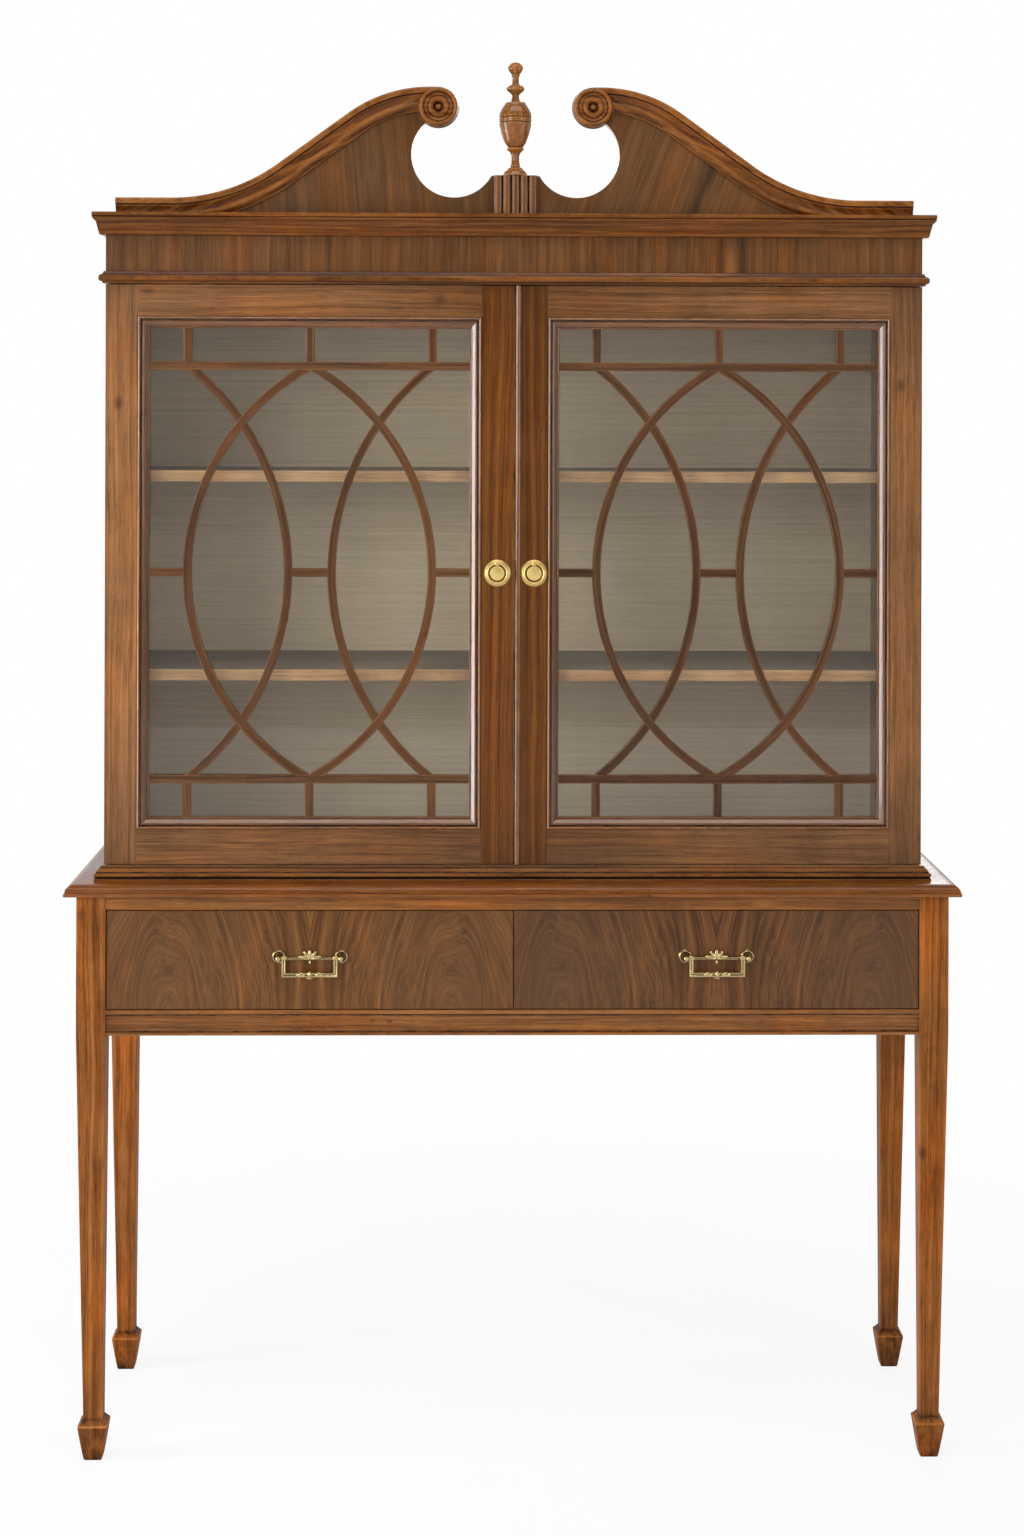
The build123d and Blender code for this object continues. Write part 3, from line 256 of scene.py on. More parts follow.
def through(table, steps=3):
    """A smooth line through the points of a table: a cubic between each two points whose ends run along
    the line from the point before to the point after."""
    table = np.asarray(table, float)
    padded = np.concatenate([table[:1], table, table[-1:]])
    a, b, c, d = padded[:-3, None], padded[1:-2, None], padded[2:-1, None], padded[3:, None]
    t = (np.arange(steps) / steps)[:, None]
    line = b + t * (c - a) / 2 + t**2 * (a - 2.5 * b + 2 * c - d / 2) + t**3 * (1.5 * (b - c) + (d - a) / 2)
    return np.concatenate([line.reshape(-1, table.shape[1]), table[-1:]])


# %% Turned pieces and pebbles
PEBBLE_ROWS, PEBBLE_TURNS = 13, 20


def full_turn(count):
    """Equal angles round a circle, the first one again at the end."""
    return np.append(np.arange(count), 0) * 2 * np.pi / count


def turned(outline, centre, axis, order=(2, 0, 1), log=(0, 0, 0), count=48, tone=0.0):
    """An outline of (radius, distance along the axis) spun round it: centre + axis * distance + radius
    times (cos, sin) of the turn on two directions square to the axis."""
    outline = np.asarray(outline, float)
    axis, centre = np.asarray(axis, float), np.asarray(centre, float)
    first = np.roll(np.abs(axis), 1)
    second = np.cross(axis, first)
    turn = full_turn(count)
    spokes = np.cos(turn)[:, None] * first + np.sin(turn)[:, None] * second
    points = centre + (outline[:, 1, None] * MM * axis)[:, None] + outline[:, 0, None, None] * MM * spokes
    return shell(points, (points - centre)[..., list(order)] + np.asarray(log), outline[:, 2, None], tone)


def pebble(centre, half, lean=0.0, wear_and_shade=0.0):
    """A squeezed ball: centre + (half width * cos cos, half depth * cos sin, half height * sin), leant
    over in the plane of the front by an angle in degrees."""
    rise = np.radians(np.linspace(-90, 90, PEBBLE_ROWS))[:, None]
    turn = full_turn(PEBBLE_TURNS)
    x, y = np.cos(rise) * np.cos(turn) * half[0], np.cos(rise) * np.sin(turn) * half[1]
    z = np.sin(rise) * half[2] + 0 * turn
    cos, sin = math.cos(math.radians(lean)), math.sin(math.radians(lean))
    local = np.stack([x * cos + z * sin, y, z * cos - x * sin], -1) * MM
    return shell(np.asarray(centre) + local, local, wear_and_shade)


print(PEBBLE_ROWS * PEBBLE_TURNS, "grid points on a pebble")


# %% [markdown]
# ## Shader nodes in few words
#
# A finish is a tree of shader nodes. It could be wired by hand in Blender's shader editor. Written out,
# the same few steps come again and again: a sum, a noise, a number carried from one range to another,
# one colour laid over another. So each gets a short helper, and the finishes below read like recipes.


# %% Shader helpers
def add(tree, kind, inputs=(), **settings):
    """One shader node. Inputs go in by place or by name, as values or as other nodes."""
    node = tree.nodes.new("ShaderNode" + kind)
    for name, value in settings.items():
        setattr(node, name, value)
    for key, value in inputs.items() if isinstance(inputs, dict) else enumerate(inputs):
        if isinstance(value, bpy.types.Node):
            value = value.outputs[0]
        if isinstance(value, bpy.types.NodeSocket):
            tree.links.new(value, node.inputs[key])
        else:
            node.inputs[key].default_value = value
    return node


def maths(tree, operation, *inputs):
    """A number worked out from one to three others."""
    return add(tree, "Math", inputs, operation=operation)


def vectors(tree, operation, *inputs):
    """A vector or colour worked out from others, part by part."""
    return add(tree, "VectorMath", inputs, operation=operation)


def scaled(tree, colour, scale):
    """A colour made lighter or darker by a factor."""
    return add(tree, "VectorMath", {0: colour, "Scale": scale}, operation="SCALE")


def between(tree, value, low, high, at_low=0.0, at_high=1.0):
    """A number carried from one range to another, and held at the ends."""
    return add(tree, "MapRange", [value, low, high, at_low, at_high])


def mixed(tree, share, colour, other):
    """One colour with another laid over it, by a share from zero to one."""
    return add(tree, "MixRGB", [share, colour, other])


def noise(tree, coords, stretch, detail=2.0, roughness=0.5):
    """Noise in three dimensions, its coordinates multiplied by a stretch along each axis."""
    inputs = {"Vector": vectors(tree, "MULTIPLY", coords, stretch), "Scale": 1.0}
    return add(tree, "TexNoise", inputs | {"Detail": detail, "Roughness": roughness})


def ramp(tree, value, stops):
    """A colour for a number, from a list of (place, colour) stops."""
    node = add(tree, "ValToRGB", [value])
    elements = node.color_ramp.elements
    while len(elements) < len(stops):
        elements.new(0.5)
    for element, (place, colour) in zip(elements, stops):
        element.position = place
        element.color = tuple(colour) + (1.0,)
    return node


def object_place(tree):
    """Each point's place in the object, in metres."""
    return add(tree, "TexCoord").outputs["Object"]


def carried(tree, name):
    """A number that the points of a piece carry: their wear and painted shade, or their tone."""
    return add(tree, "Attribute", attribute_name=name).outputs["Fac"]


def start_material(name):
    """An empty node material and its node tree."""
    material = bpy.data.materials.new(name)
    material.use_nodes = True
    material.node_tree.nodes.clear()
    return material, material.node_tree


# %% [markdown]
# ## Walnut from one log
#
# Wood is a solid: growth rings run round the heart of the log and fibres run along it, and a board
# shows whatever its saw cut meets. A photograph of wood wrapped round each piece would break at the
# edges, so the shader works as the tree does. It takes each point's place in the log, wanders it a
# little, measures how far it is from the heart and looks up dark and light growth there. Long fibre
# noise, short pores, a ripple across the grain and patchy polish go on top, then the wear, the painted
# shade in the hollows and the painted highlights on the rounds that the points carry.


# %% Places in the log
# How often each pattern comes in a metre of the log: along, across and deep
DRIFT, STREAKS, FIBRES, PORES = (2.3, 11, 11), (2.5, 170, 170), (9, 650, 650), (55, 850, 850)
RIPPLES, CLOUDS, GOLDEN_PATCHES, BREAKS = (24, 7, 7), (11, 38, 38), (5, 18, 18), (5, 60, 60)
# And in a metre of the finished piece: polish, and the blotches of wear and painted shade
POLISH, BLOTCHES = (7, 7, 7), (55, 55, 38)
WANDER_GAIN = 4


def log_place(tree, axes, log, leaf, heart, lean):
    """Each point's place in the log: from its own grain values, or for a CAD board from its object place
    with the axes sorted. Mirrored leaves fold it across the face, and a lean slants the grain."""
    if axes is None:
        coords = add(tree, "Attribute", attribute_name="grain").outputs["Vector"]
    else:
        place = add(tree, "SeparateXYZ", [object_place(tree)])
        sorted_place = add(tree, "CombineXYZ", [place.outputs[i] for i in axes])
        coords = vectors(tree, "ADD", sorted_place, log).outputs[0]
    along, across, deep = add(tree, "SeparateXYZ", [coords]).outputs
    if leaf:
        across = maths(tree, "SUBTRACT", maths(tree, "PINGPONG", across, leaf), heart)
    if lean:
        across = maths(tree, "MULTIPLY_ADD", along, -lean, across)
    return add(tree, "CombineXYZ", [along, across, deep])


def wandered(tree, coords, wander):
    """The log place moved aside by slow noise round zero, because no tree grows quite straight."""
    drift = vectors(tree, "SUBTRACT", noise(tree, coords, DRIFT).outputs["Color"], (0.5, 0.5, 0.5))
    reach = wander * WANDER_GAIN
    return vectors(tree, "ADD", coords, vectors(tree, "MULTIPLY", drift, (0, reach, reach)))


# %% Growth and lightness
RING_SHARE, STREAK_SHARE, FIBRE_SHARE = 0.38, 0.27, 0.35
SHADE_STOPS, RIPPLE_GAIN = (0.39, 0.5, 0.61), 3


def growth_colour(tree, moved, radius, rings, fibres, shades):
    """The wood's own colour: rings by distance from the heart, long streaks and fine fibres are weighed
    together, and the sum is looked up between dark, middle and light."""
    growth = add(tree, "TexNoise", {"W": radius, "Scale": rings, "Detail": 4.0, "Roughness": 0.7},
                 noise_dimensions="1D")
    blend = maths(tree, "MULTIPLY", growth, RING_SHARE)
    blend = maths(tree, "MULTIPLY_ADD", noise(tree, moved, STREAKS), STREAK_SHARE, blend)
    blend = maths(tree, "MULTIPLY_ADD", fibres, FIBRE_SHARE, blend)
    return ramp(tree, blend, list(zip(SHADE_STOPS, shades)))


def lighten(tree, scale, pattern, amount):
    """A lightness with a pattern added to it: scale + amount * (pattern - one half)."""
    return maths(tree, "MULTIPLY_ADD", maths(tree, "SUBTRACT", pattern, 0.5), amount, scale)


def lightness(tree, coords, patches, pores, ripple, patch, cloud, pore):
    """How light each point is: one, with ripple, patchy polish and clouds, plus the board's own tone,
    less the pores."""
    scale = lighten(tree, 1.0, noise(tree, coords, RIPPLES), ripple * RIPPLE_GAIN)
    scale = lighten(tree, scale, patches, patch)
    scale = lighten(tree, scale, noise(tree, coords, CLOUDS, 3.0, 0.6), cloud)
    return maths(tree, "MULTIPLY_ADD", pores, -pore, maths(tree, "ADD", scale, carried(tree, "tone")))


print("rings, streaks and fibres weigh", RING_SHARE + STREAK_SHARE + FIBRE_SHARE, "together")


# %% Marks of growth, marks of use and painted shade
# Near-black brown: the dark lines and knots of the wood, and also the painted shade in the hollows
DARK_FIGURE_AND_SHADE, HEART_GREY = (0.014, 0.006, 0.003, 1.0), (0.16, 0.11, 0.075)
HEART_REACH, KNOT_REACH = (0.02, 0.16), (0.02, 0.10)
BREAK_EDGE, LINE_DARK, CORE_EDGE, CORE_SHARE, CORE_LIGHT = (0.4, 0.55), 0.8, (0.3, 0.5), 0.7, 1.4
# Points above zero are painted lighter, partly as wear and partly as highlight; below zero, and all along in
# the deepest hollows, they take painted shade
BLOTCH_EDGE, BLOTCH_RANGE, POLISH_WEAR, WORN_AND_HIGHLIT_LIGHT = (0.36, 0.64), (0.4, 1.5), 1.5, 1.5
HOLLOW_SLOPE, HOLLOW_START = -1.6, -0.6


def marked(tree, colour, coords, moved, radius, mid, light, heart_shade, streak, knots, knot_spread):
    """Marks of growth: greyer wood round the heart, a broken dark line with a light core, small knots."""
    if heart_shade:
        grey = tuple(0.55 * a + 0.25 * b for a, b in zip(mid, HEART_GREY)) + (1.0,)
        colour = mixed(tree, between(tree, radius, *HEART_REACH, heart_shade, 0.0), colour, grey)
    if streak:
        off = maths(tree, "ABSOLUTE", maths(tree, "SUBTRACT", radius, streak[0]))
        broken = between(tree, noise(tree, moved, BREAKS), *BREAK_EDGE)
        line = maths(tree, "MULTIPLY", between(tree, off, 0.0, streak[1], LINE_DARK, 0.0), broken)
        core_low, core_high = (edge * streak[0] for edge in CORE_EDGE)
        core = between(tree, radius, core_low, core_high, CORE_SHARE, 0.0)
        colour = mixed(tree, line, colour, DARK_FIGURE_AND_SHADE)
        colour = mixed(tree, core, colour, tuple(CORE_LIGHT * part for part in light) + (1.0,))
    if knots:
        spread = vectors(tree, "MULTIPLY", coords, knot_spread)
        from_knot = add(tree, "TexVoronoi", {"Vector": spread, "Scale": 1.0}).outputs["Distance"]
        colour = mixed(tree, between(tree, from_knot, *KNOT_REACH, knots, 0.0), colour, DARK_FIGURE_AND_SHADE)
    return colour


def worn_and_shaded(tree, colour, patches, light):
    """Marks of use and painted light: points above zero go bright, partly as wear and partly as painted
    highlight, and hollows below zero are painted dark as shade, with some old polish. Both come in
    blotches, except in the deepest hollows, which are painted dark as shade all along."""
    wear_and_shade = carried(tree, "wear_and_shade")
    blotches = noise(tree, object_place(tree), BLOTCHES, 3.0, 0.6)
    blotchy = maths(tree, "MULTIPLY", wear_and_shade, between(tree, blotches, *BLOTCH_EDGE, *BLOTCH_RANGE))
    wear_and_highlight = maths(tree, "MULTIPLY", blotchy, maths(tree, "MULTIPLY", patches, POLISH_WEAR))
    colour = mixed(tree, add(tree, "Clamp", [wear_and_highlight]), colour, scaled(tree, tuple(light), WORN_AND_HIGHLIT_LIGHT))
    deepest = maths(tree, "MULTIPLY_ADD", wear_and_shade, HOLLOW_SLOPE, HOLLOW_START)
    dirt_and_shade = maths(tree, "MAXIMUM", maths(tree, "MULTIPLY", blotchy, -1.0), deepest)
    return mixed(tree, add(tree, "Clamp", [dirt_and_shade]), colour, DARK_FIGURE_AND_SHADE)


# %% The walnut shader
GOLDEN, GOLDEN_EDGE, DARK_ENDS = (1.35, 1.08, 0.7), (0.45, 0.65), 0.6
PORE_EDGE, PORE_DEPTH, POLISH_EDGE, COAT_ROUGH = (0.55, 0.68), -0.6, (0.3, 0.7), 0.08


def walnut(
    name, dark, mid, light, tilt=0.015, rings=110.0, wander=0.005, leaf=None, heart=0.0, lean=0.0,
    axes=None, log=(0, 0, 0), ripple=0.10, patch=0.35, cloud=0.5, pore=0.27, knots=0.0,
    knot_spread=(7, 10, 10), shine=0.25, rough=0.3, gloss=0.0, figured=False, heart_shade=0.0,
    streak=None, ends=None,
):
    """Walnut sawn from a log: rings by distance from the heart, fibres along it, pores, ripple, wear and
    painted shade.

    Tilt is how far the saw cut slants through the rings, rings how many there are to a metre, wander how
    far they stray. Leaf is the width of a veneer leaf, mirrored again and again across the face, and
    heart is where the log's heart lies in it. Lean slants the grain on the face, and in figured wood the
    fibres bend round the heart. Axes gives a CAD board its directions along, across and deep, and log
    its place. Ripple, patch, cloud and pore say how strong those patterns are. Knots is how dark the few
    small knots are, and knot spread how many there are to a metre each way. Heart shade greys the wood
    round the heart. Streak is a dark line in the log, as its distance from the heart and half its width.
    Ends is a place along the log and two distances from it, between which the wood turns darker.
    """
    material, tree = start_material(name)
    coords = log_place(tree, axes, log, leaf, heart, lean)
    moved = wandered(tree, coords, wander)
    along, across, deep = add(tree, "SeparateXYZ", [moved]).outputs
    section = add(tree, "CombineXYZ", [0.0, across, maths(tree, "MULTIPLY_ADD", along, tilt, deep)])
    radius = vectors(tree, "LENGTH", section).outputs["Value"]
    if figured:
        moved = add(tree, "CombineXYZ", [along, radius, deep])
    fibres = noise(tree, moved, FIBRES, 2.0, 0.6)
    pores = between(tree, noise(tree, moved, PORES, 1.0), *PORE_EDGE)
    patches = noise(tree, object_place(tree), POLISH)
    scale = lightness(tree, coords, patches, pores, ripple, patch, cloud, pore)
    if ends:
        along_log = add(tree, "SeparateXYZ", [coords])
        from_middle = maths(tree, "ABSOLUTE", maths(tree, "SUBTRACT", along_log, ends[0]))
        scale = maths(tree, "MULTIPLY", scale, between(tree, from_middle, ends[1], ends[2], 1.0, DARK_ENDS))
    colour = scaled(tree, growth_colour(tree, moved, radius, rings, fibres, (dark, mid, light)), scale)
    golden = between(tree, noise(tree, coords, GOLDEN_PATCHES), *GOLDEN_EDGE, 0.0, cloud)
    colour = mixed(tree, golden, colour, vectors(tree, "MULTIPLY", colour, GOLDEN))
    colour = marked(tree, colour, coords, moved, radius, mid, light, heart_shade, streak, knots, knot_spread)
    height = maths(tree, "MULTIPLY_ADD", pores, PORE_DEPTH, fibres)
    shader = add(tree, "BsdfPrincipled", {
        "Base Color": worn_and_shaded(tree, colour, patches, light),
        "Roughness": between(tree, patches, *POLISH_EDGE, rough - 0.06, rough + 0.08),
        "Normal": add(tree, "Bump", {"Strength": 0.2, "Distance": 0.0005, "Height": height}),
        "Specular IOR Level": shine, "Coat Weight": gloss, "Coat Roughness": COAT_ROUGH,
    })
    add(tree, "OutputMaterial", [shader])
    print(name, len(tree.nodes), "shader nodes")
    return material


# %% [markdown]
# ## Brass and glass
#
# The ring pulls are polished yellow brass, the drawer pulls an older cast brass whose hollows stay
# brown. Both are metal shaders with fine scratches, and the same wear and shade values that mark the
# wood keep their hollows dull, partly as patina and partly as painted shade. The panes are clear, thin
# glass. Glass shaders throw dark shadows unless light is traced through them at great cost, so here
# shadow rays pass straight through to the shelves.


# %% Brass and glass shaders
TARNISH, SCRATCHES, SMEARS = (220, 220, 220), (300, 300, 2600), (9, 9, 3)
TARNISH_SHARE, TARNISH_STOPS = 0.55, (0.12, 0.42, 0.9)


def brass(name, bright, dull, rough):
    """Polished metal that dulls in patches and where the wear and shade value is below zero, partly as patina
    and partly as painted shade, with fine scratches.
    """
    material, tree = start_material(name)
    patches = noise(tree, object_place(tree), TARNISH, 3.0, 0.6)
    scratches = noise(tree, object_place(tree), SCRATCHES)
    tarnish_and_shade = maths(tree, "SUBTRACT", maths(tree, "MULTIPLY", patches, TARNISH_SHARE), carried(tree, "wear_and_shade"))
    half_dull = tuple(0.5 * (a + b) for a, b in zip(bright, dull))
    shader = add(tree, "BsdfPrincipled", {
        "Base Color": ramp(tree, tarnish_and_shade, list(zip(TARNISH_STOPS, (bright, half_dull, dull)))), "Metallic": 1.0,
        "Roughness": between(tree, patches, *POLISH_EDGE, rough - 0.06, rough + 0.1),
        "Normal": add(tree, "Bump", {"Strength": 0.12, "Distance": 0.0002, "Height": scratches}),
    })
    add(tree, "OutputMaterial", [shader])
    print(name, len(tree.nodes), "shader nodes")
    return material


def clear_glass(name):
    """Glass that lets light straight through to what is behind it."""
    material, tree = start_material(name)
    smears = noise(tree, object_place(tree), SMEARS)
    shader = add(tree, "BsdfPrincipled", {
        "Base Color": ramp(tree, smears, [(0.3, (0.90, 0.92, 0.90)), (0.7, (0.97, 0.98, 0.97))]),
        "Transmission Weight": 1.0, "IOR": 1.45, "Roughness": 0.0,
    })
    clear = add(tree, "BsdfTransparent", [(0.9, 0.92, 0.9, 1.0)])
    shadow = add(tree, "LightPath").outputs["Is Shadow Ray"]
    add(tree, "OutputMaterial", [add(tree, "MixShader", [shadow, shader, clear])])
    return material


polished_brass = brass("polished_brass", (0.94, 0.68, 0.26), (0.20, 0.12, 0.035), 0.38)
antique_brass = brass("antique_brass", (0.56, 0.43, 0.21), (0.12, 0.08, 0.032), 0.28)
dark_brass = brass("dark_brass", (0.16, 0.11, 0.05), (0.06, 0.04, 0.02), 0.4)
glass = clear_glass("clear_glass")

# %% [markdown]
# ## Boards that keep their CAD shape
#
# The sides, the back, the insides of the drawers, the panes and the hidden fittings are plain shapes
# that the CAD frame already has exactly. They could be built again as boards, but nothing would be
# gained, so they only get a finish. Their grain comes from their place in the object, with the axes
# sorted so that it runs along each board.


# %% CAD boards
def dress(material, *names):
    """Gives CAD nodes a finish. Their shape and place stay as they are."""
    for name in names:
        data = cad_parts[name].data
        data.materials.clear()
        data.materials.append(material)
    print(material.name, "on", ", ".join(names))


side_wood = walnut(
    "case_side_walnut", (0.10, 0.038, 0.010), (0.18, 0.070, 0.021), (0.26, 0.108, 0.036), axes=(2, 1, 0),
    log=(0, 0.5, 0),
)
back_wood = walnut(
    "back_panel_wood", (0.46, 0.355, 0.236), (0.515, 0.40, 0.268), (0.565, 0.44, 0.30), axes=(0, 2, 1),
    log=(0, -0.6, 0), rings=160.0, wander=0.002, ripple=0.02, patch=0.12, cloud=0.06, pore=0.1, rough=0.5,
)
inner_wood = walnut(
    "drawer_lining_wood", (0.22, 0.14, 0.075), (0.33, 0.215, 0.12), (0.43, 0.29, 0.17), axes=(0, 1, 2),
    log=(0, 0.4, 0), rough=0.5,
)
dress(side_wood, "case_side_left", "case_side_right", "frieze_sides")
dress(back_wood, "back_panel", "case_bottom", "case_top")
dress(inner_wood, "drawer_partition", "drawer_runners", "dust_board")
for side in ("left", "right"):
    dress(inner_wood, f"drawer_{side}_walls", f"drawer_{side}_bottom")
    dress(glass, f"door_{side}_glass")
    dress(dark_brass, f"door_{side}_fittings")
    dress(back_wood, f"door_{side}_glazing_beads")
dress(dark_brass, "case_fittings")
dress(polished_brass, "shelf_pins")

# %% [markdown]
# ## Legs
#
# Each leg is one square stick, tapered with a plane below the apron and cut back above a spade foot. It
# could be a cube with loop cuts, but a stack of rounded squares gives the taper, the foot and the eased
# edges in one table. The rim of the foot takes every knock, so it is rubbed light, and the hollow above
# it stays dark.


# %% Legs
leg_wood = walnut(
    "leg_walnut", (0.14, 0.043, 0.010), (0.25, 0.087, 0.02), (0.345, 0.13, 0.036), tilt=0.03, patch=0.9,
    ripple=0.14, cloud=0.9, knots=0.7, shine=0.06, rough=0.5,
)
LEG = np.array([
    # height, half width, corner radius, share of the foot's set-in, wear and shade
    [0.0, 12.2, 1.0, 1, -0.8], [1.4, 13.6, 1.4, 1, -0.65], [14, 16.0, 1.4, 1, -0.46],
    [34, 19.2, 1.4, 1, -0.40], [50.5, 21.7, 1.4, 1, -0.35], [52.2, 22.0, 1.4, 1, 0.5],
    [53.2, 21.7, 1.4, 1, 0.9], [54.2, 20.8, 1.4, 1, -0.1], [58, 17.4, 1.3, 1, -0.45],
    [61.2, 14.8, 1.3, 1, -0.8], [62.2, 14.3, 1.3, 1, -0.7], [66, 14.35, 1.3, 0.99, -0.35],
    [90, 14.6, 1.3, 0.95, -0.2], [150, 15.4, 1.3, 0.84, 0.0], [350, 18.2, 1.4, 0.5, 0.0],
    [638.5, 22.0, 1.5, 0.0, 0.0], [846, 22.0, 1.5, 0.0, 0.0], [849, 22.0, 1.5, 0.0, -0.3],
])
LEG_HALF, FOOT_SET_IN, LEG_WEAR = 22.0, 4.0, 0.3


def leg(side, end, log, tone):
    """One leg: squares stacked up its height, their centres moving in towards the foot."""
    low, high = (corner / MM for corner in box(f"leg_{end}_{side}"))
    sign = -1 if side == "left" else 1
    middle_x = low[0] + LEG_HALF if sign < 0 else high[0] - LEG_HALF
    middle_y = (low[1] + high[1]) / 2
    height, half, radius, set_in, wear_and_shade = LEG.T
    centre_x = middle_x - sign * FOOT_SET_IN * set_in
    levels = np.stack([height, centre_x, np.full(len(LEG), middle_y), half, half, radius], -1)
    log = np.asarray(log) - np.array([0, middle_x, middle_y]) * MM
    return stack(levels, (2, 0, 1), log, LEG_WEAR, wear_and_shade, tone)


for side, end, log, tone in (
    ("left", "front", (0.0, 0.12, 0.03), 0.0), ("right", "front", (1.1, -0.15, 0.02), 0.02),
    ("left", "back", (2.3, 0.14, -0.04), 0.06), ("right", "back", (3.1, -0.11, 0.05), -0.05),
):
    piece(f"{end}_{side}_leg", [leg(side, end, log, tone)], leg_wood, stands_for=[f"leg_{end}_{side}"])

# %% [markdown]
# ## Rails of the stand
#
# The rails join the legs and carry the drawers. All are plain boards but the lower front rail, which has
# a bead along both edges. A scratch stock cuts such a bead along the whole stick, so that rail is a
# profile carried along a straight path, with dark lines of painted shade where the cutter left a groove.

# %% Plain rails
top_wood = walnut(
    "top_walnut", (0.11, 0.037, 0.006), (0.21, 0.078, 0.017), (0.31, 0.126, 0.034), ripple=0.14, cloud=0.8,
    knots=0.8, knot_spread=(14, 22, 22),
)
RAIL_REACH, RAIL_THICK, RAIL_EASE = 0.6115, 0.022, 0.8
SIDE_RAIL_FRONT, SIDE_RAIL_BACK = -0.1475, 0.1645
for node, name, tone in (
    ("stand_back_rail", "back_rail", 0.0), ("drawer_rail_upper", "upper_drawer_rail", 0.12),
):
    low, high = box(node)
    low[0], high[0] = -RAIL_REACH, RAIL_REACH
    rail = board(low, high, 0, RAIL_EASE, (0.4, 0.02, 0.012), tone=tone)
    piece(name, [rail], top_wood, stands_for=[node])

low, high = box("stand_side_rails")
side_rails = []
for sign in (-1, 1):
    near, far = sorted((sign * high[0], sign * (high[0] - RAIL_THICK)))
    start, end = (near, SIDE_RAIL_FRONT, low[2]), (far, SIDE_RAIL_BACK, high[2])
    side_rails.append(board(start, end, 1, RAIL_EASE, (0.5, 0.03 * sign, 0.015)))
piece("side_rails", side_rails, top_wood, stands_for=["stand_side_rails"])

# %% Beaded rail
LOWER_RAIL = [
    # forward, up, wear and shade
    (-26, 0.4, 0), (-1.2, 0, 0.1), (-0.3, 0.7, 0.3), (0, 2.2, 0.4), (-0.4, 3.8, 0.2), (-1.6, 4.7, -0.4),
    (-3.8, 5.0, -0.8), (-4, 5.8, -0.6), (-4, 8, 0), (-4, 28, 0), (-4, 30.2, -0.9), (-3.6, 31.4, -1),
    (-1.2, 31.6, -0.6), (-0.3, 32.4, 0.3), (0.2, 34.6, 0.4), (-0.1, 36.6, 0.3), (-0.8, 37.6, 0.2),
    (-1.6, 38, 0), (-26, 38, 0),
]
low, high = box("drawer_rail_lower")
places = [[-RAIL_REACH, low[1], low[2]], [RAIL_REACH, low[1], low[2]]]
beaded_rail = carry(LOWER_RAIL, places, [FORWARD] * 2, [UPWARD] * 2, (0.3, 0.05, 0.0))
piece("lower_drawer_rail", [beaded_rail], top_wood, stands_for=["drawer_rail_lower"])

# %% [markdown]
# ## Stand top
#
# The board between stand and case shows only its moulded edge: a small upright lip, then a quarter
# round. The rounding goes round three sides, so the board is drawn as a stack of ever smaller
# rectangles, and not as a profile with mitres. Its grain runs along the board, so its log place is
# simply its own place.

# %% Stand top
polished_top_wood = walnut(
    "polished_top_walnut", (0.10, 0.030, 0.004), (0.175, 0.052, 0.006), (0.26, 0.09, 0.02), ripple=0.14,
    rough=0.28, gloss=0.1,
)
LIP = np.array([
    # set in from the edge, height, wear and shade: the lines below and above the lip are painted shade
    (1.0, 0, -0.3), (0.3, 0.3, 0), (0, 1.0, 0.3), (0, 4.3, 0.3), (0.2, 4.9, 0.4), (0.9, 5.1, -0.5),
])
ROUND_START, ROUND_WIDE, ROUND_HIGH, ROUND_STEPS = (1.2, 5.3), 14.8, 12.2, 10
TOP_INSET, TOP_HIGH, TOP_CORNER, TOP_WEAR = 20, 17.5, 1.2, 0.1
low, high = (corner / MM for corner in box("stand_top"))
turn = np.radians(np.linspace(0, 90, ROUND_STEPS))
inset = np.concatenate([LIP[:, 0], ROUND_START[0] + ROUND_WIDE * (1 - np.cos(turn)), [TOP_INSET]])
rise = np.concatenate([LIP[:, 1], ROUND_START[1] + ROUND_HIGH * np.sin(turn), [TOP_HIGH]])
wear_and_shade = np.concatenate([LIP[:, 2], LIP[-1:, 2], np.zeros(ROUND_STEPS)])
levels = np.stack([
    low[2] + rise, np.zeros(len(rise)), (low[1] + inset + high[1]) / 2, high[0] - inset,
    (high[1] - low[1] - inset) / 2, np.full(len(rise), TOP_CORNER),
], -1)
slab = stack(levels, (2, 0, 1), (0, 0, 0), TOP_WEAR, wear_and_shade)
slab["grain"] = slab["points"] + np.array([0.7, 0.23, -0.84])
piece("stand_top_board", [slab], polished_top_wood, stands_for=["stand_top"])

# %% [markdown]
# ## Drawer fronts
#
# The fronts are veneered: two leaves cut one after the other from a crotch and opened like a book, so
# the arches mirror each other at the middle of each drawer. The board is plain. What makes it is the
# log place: upright grain, folded at the middle by the shader, through rings that the saw met at a
# steep slant.

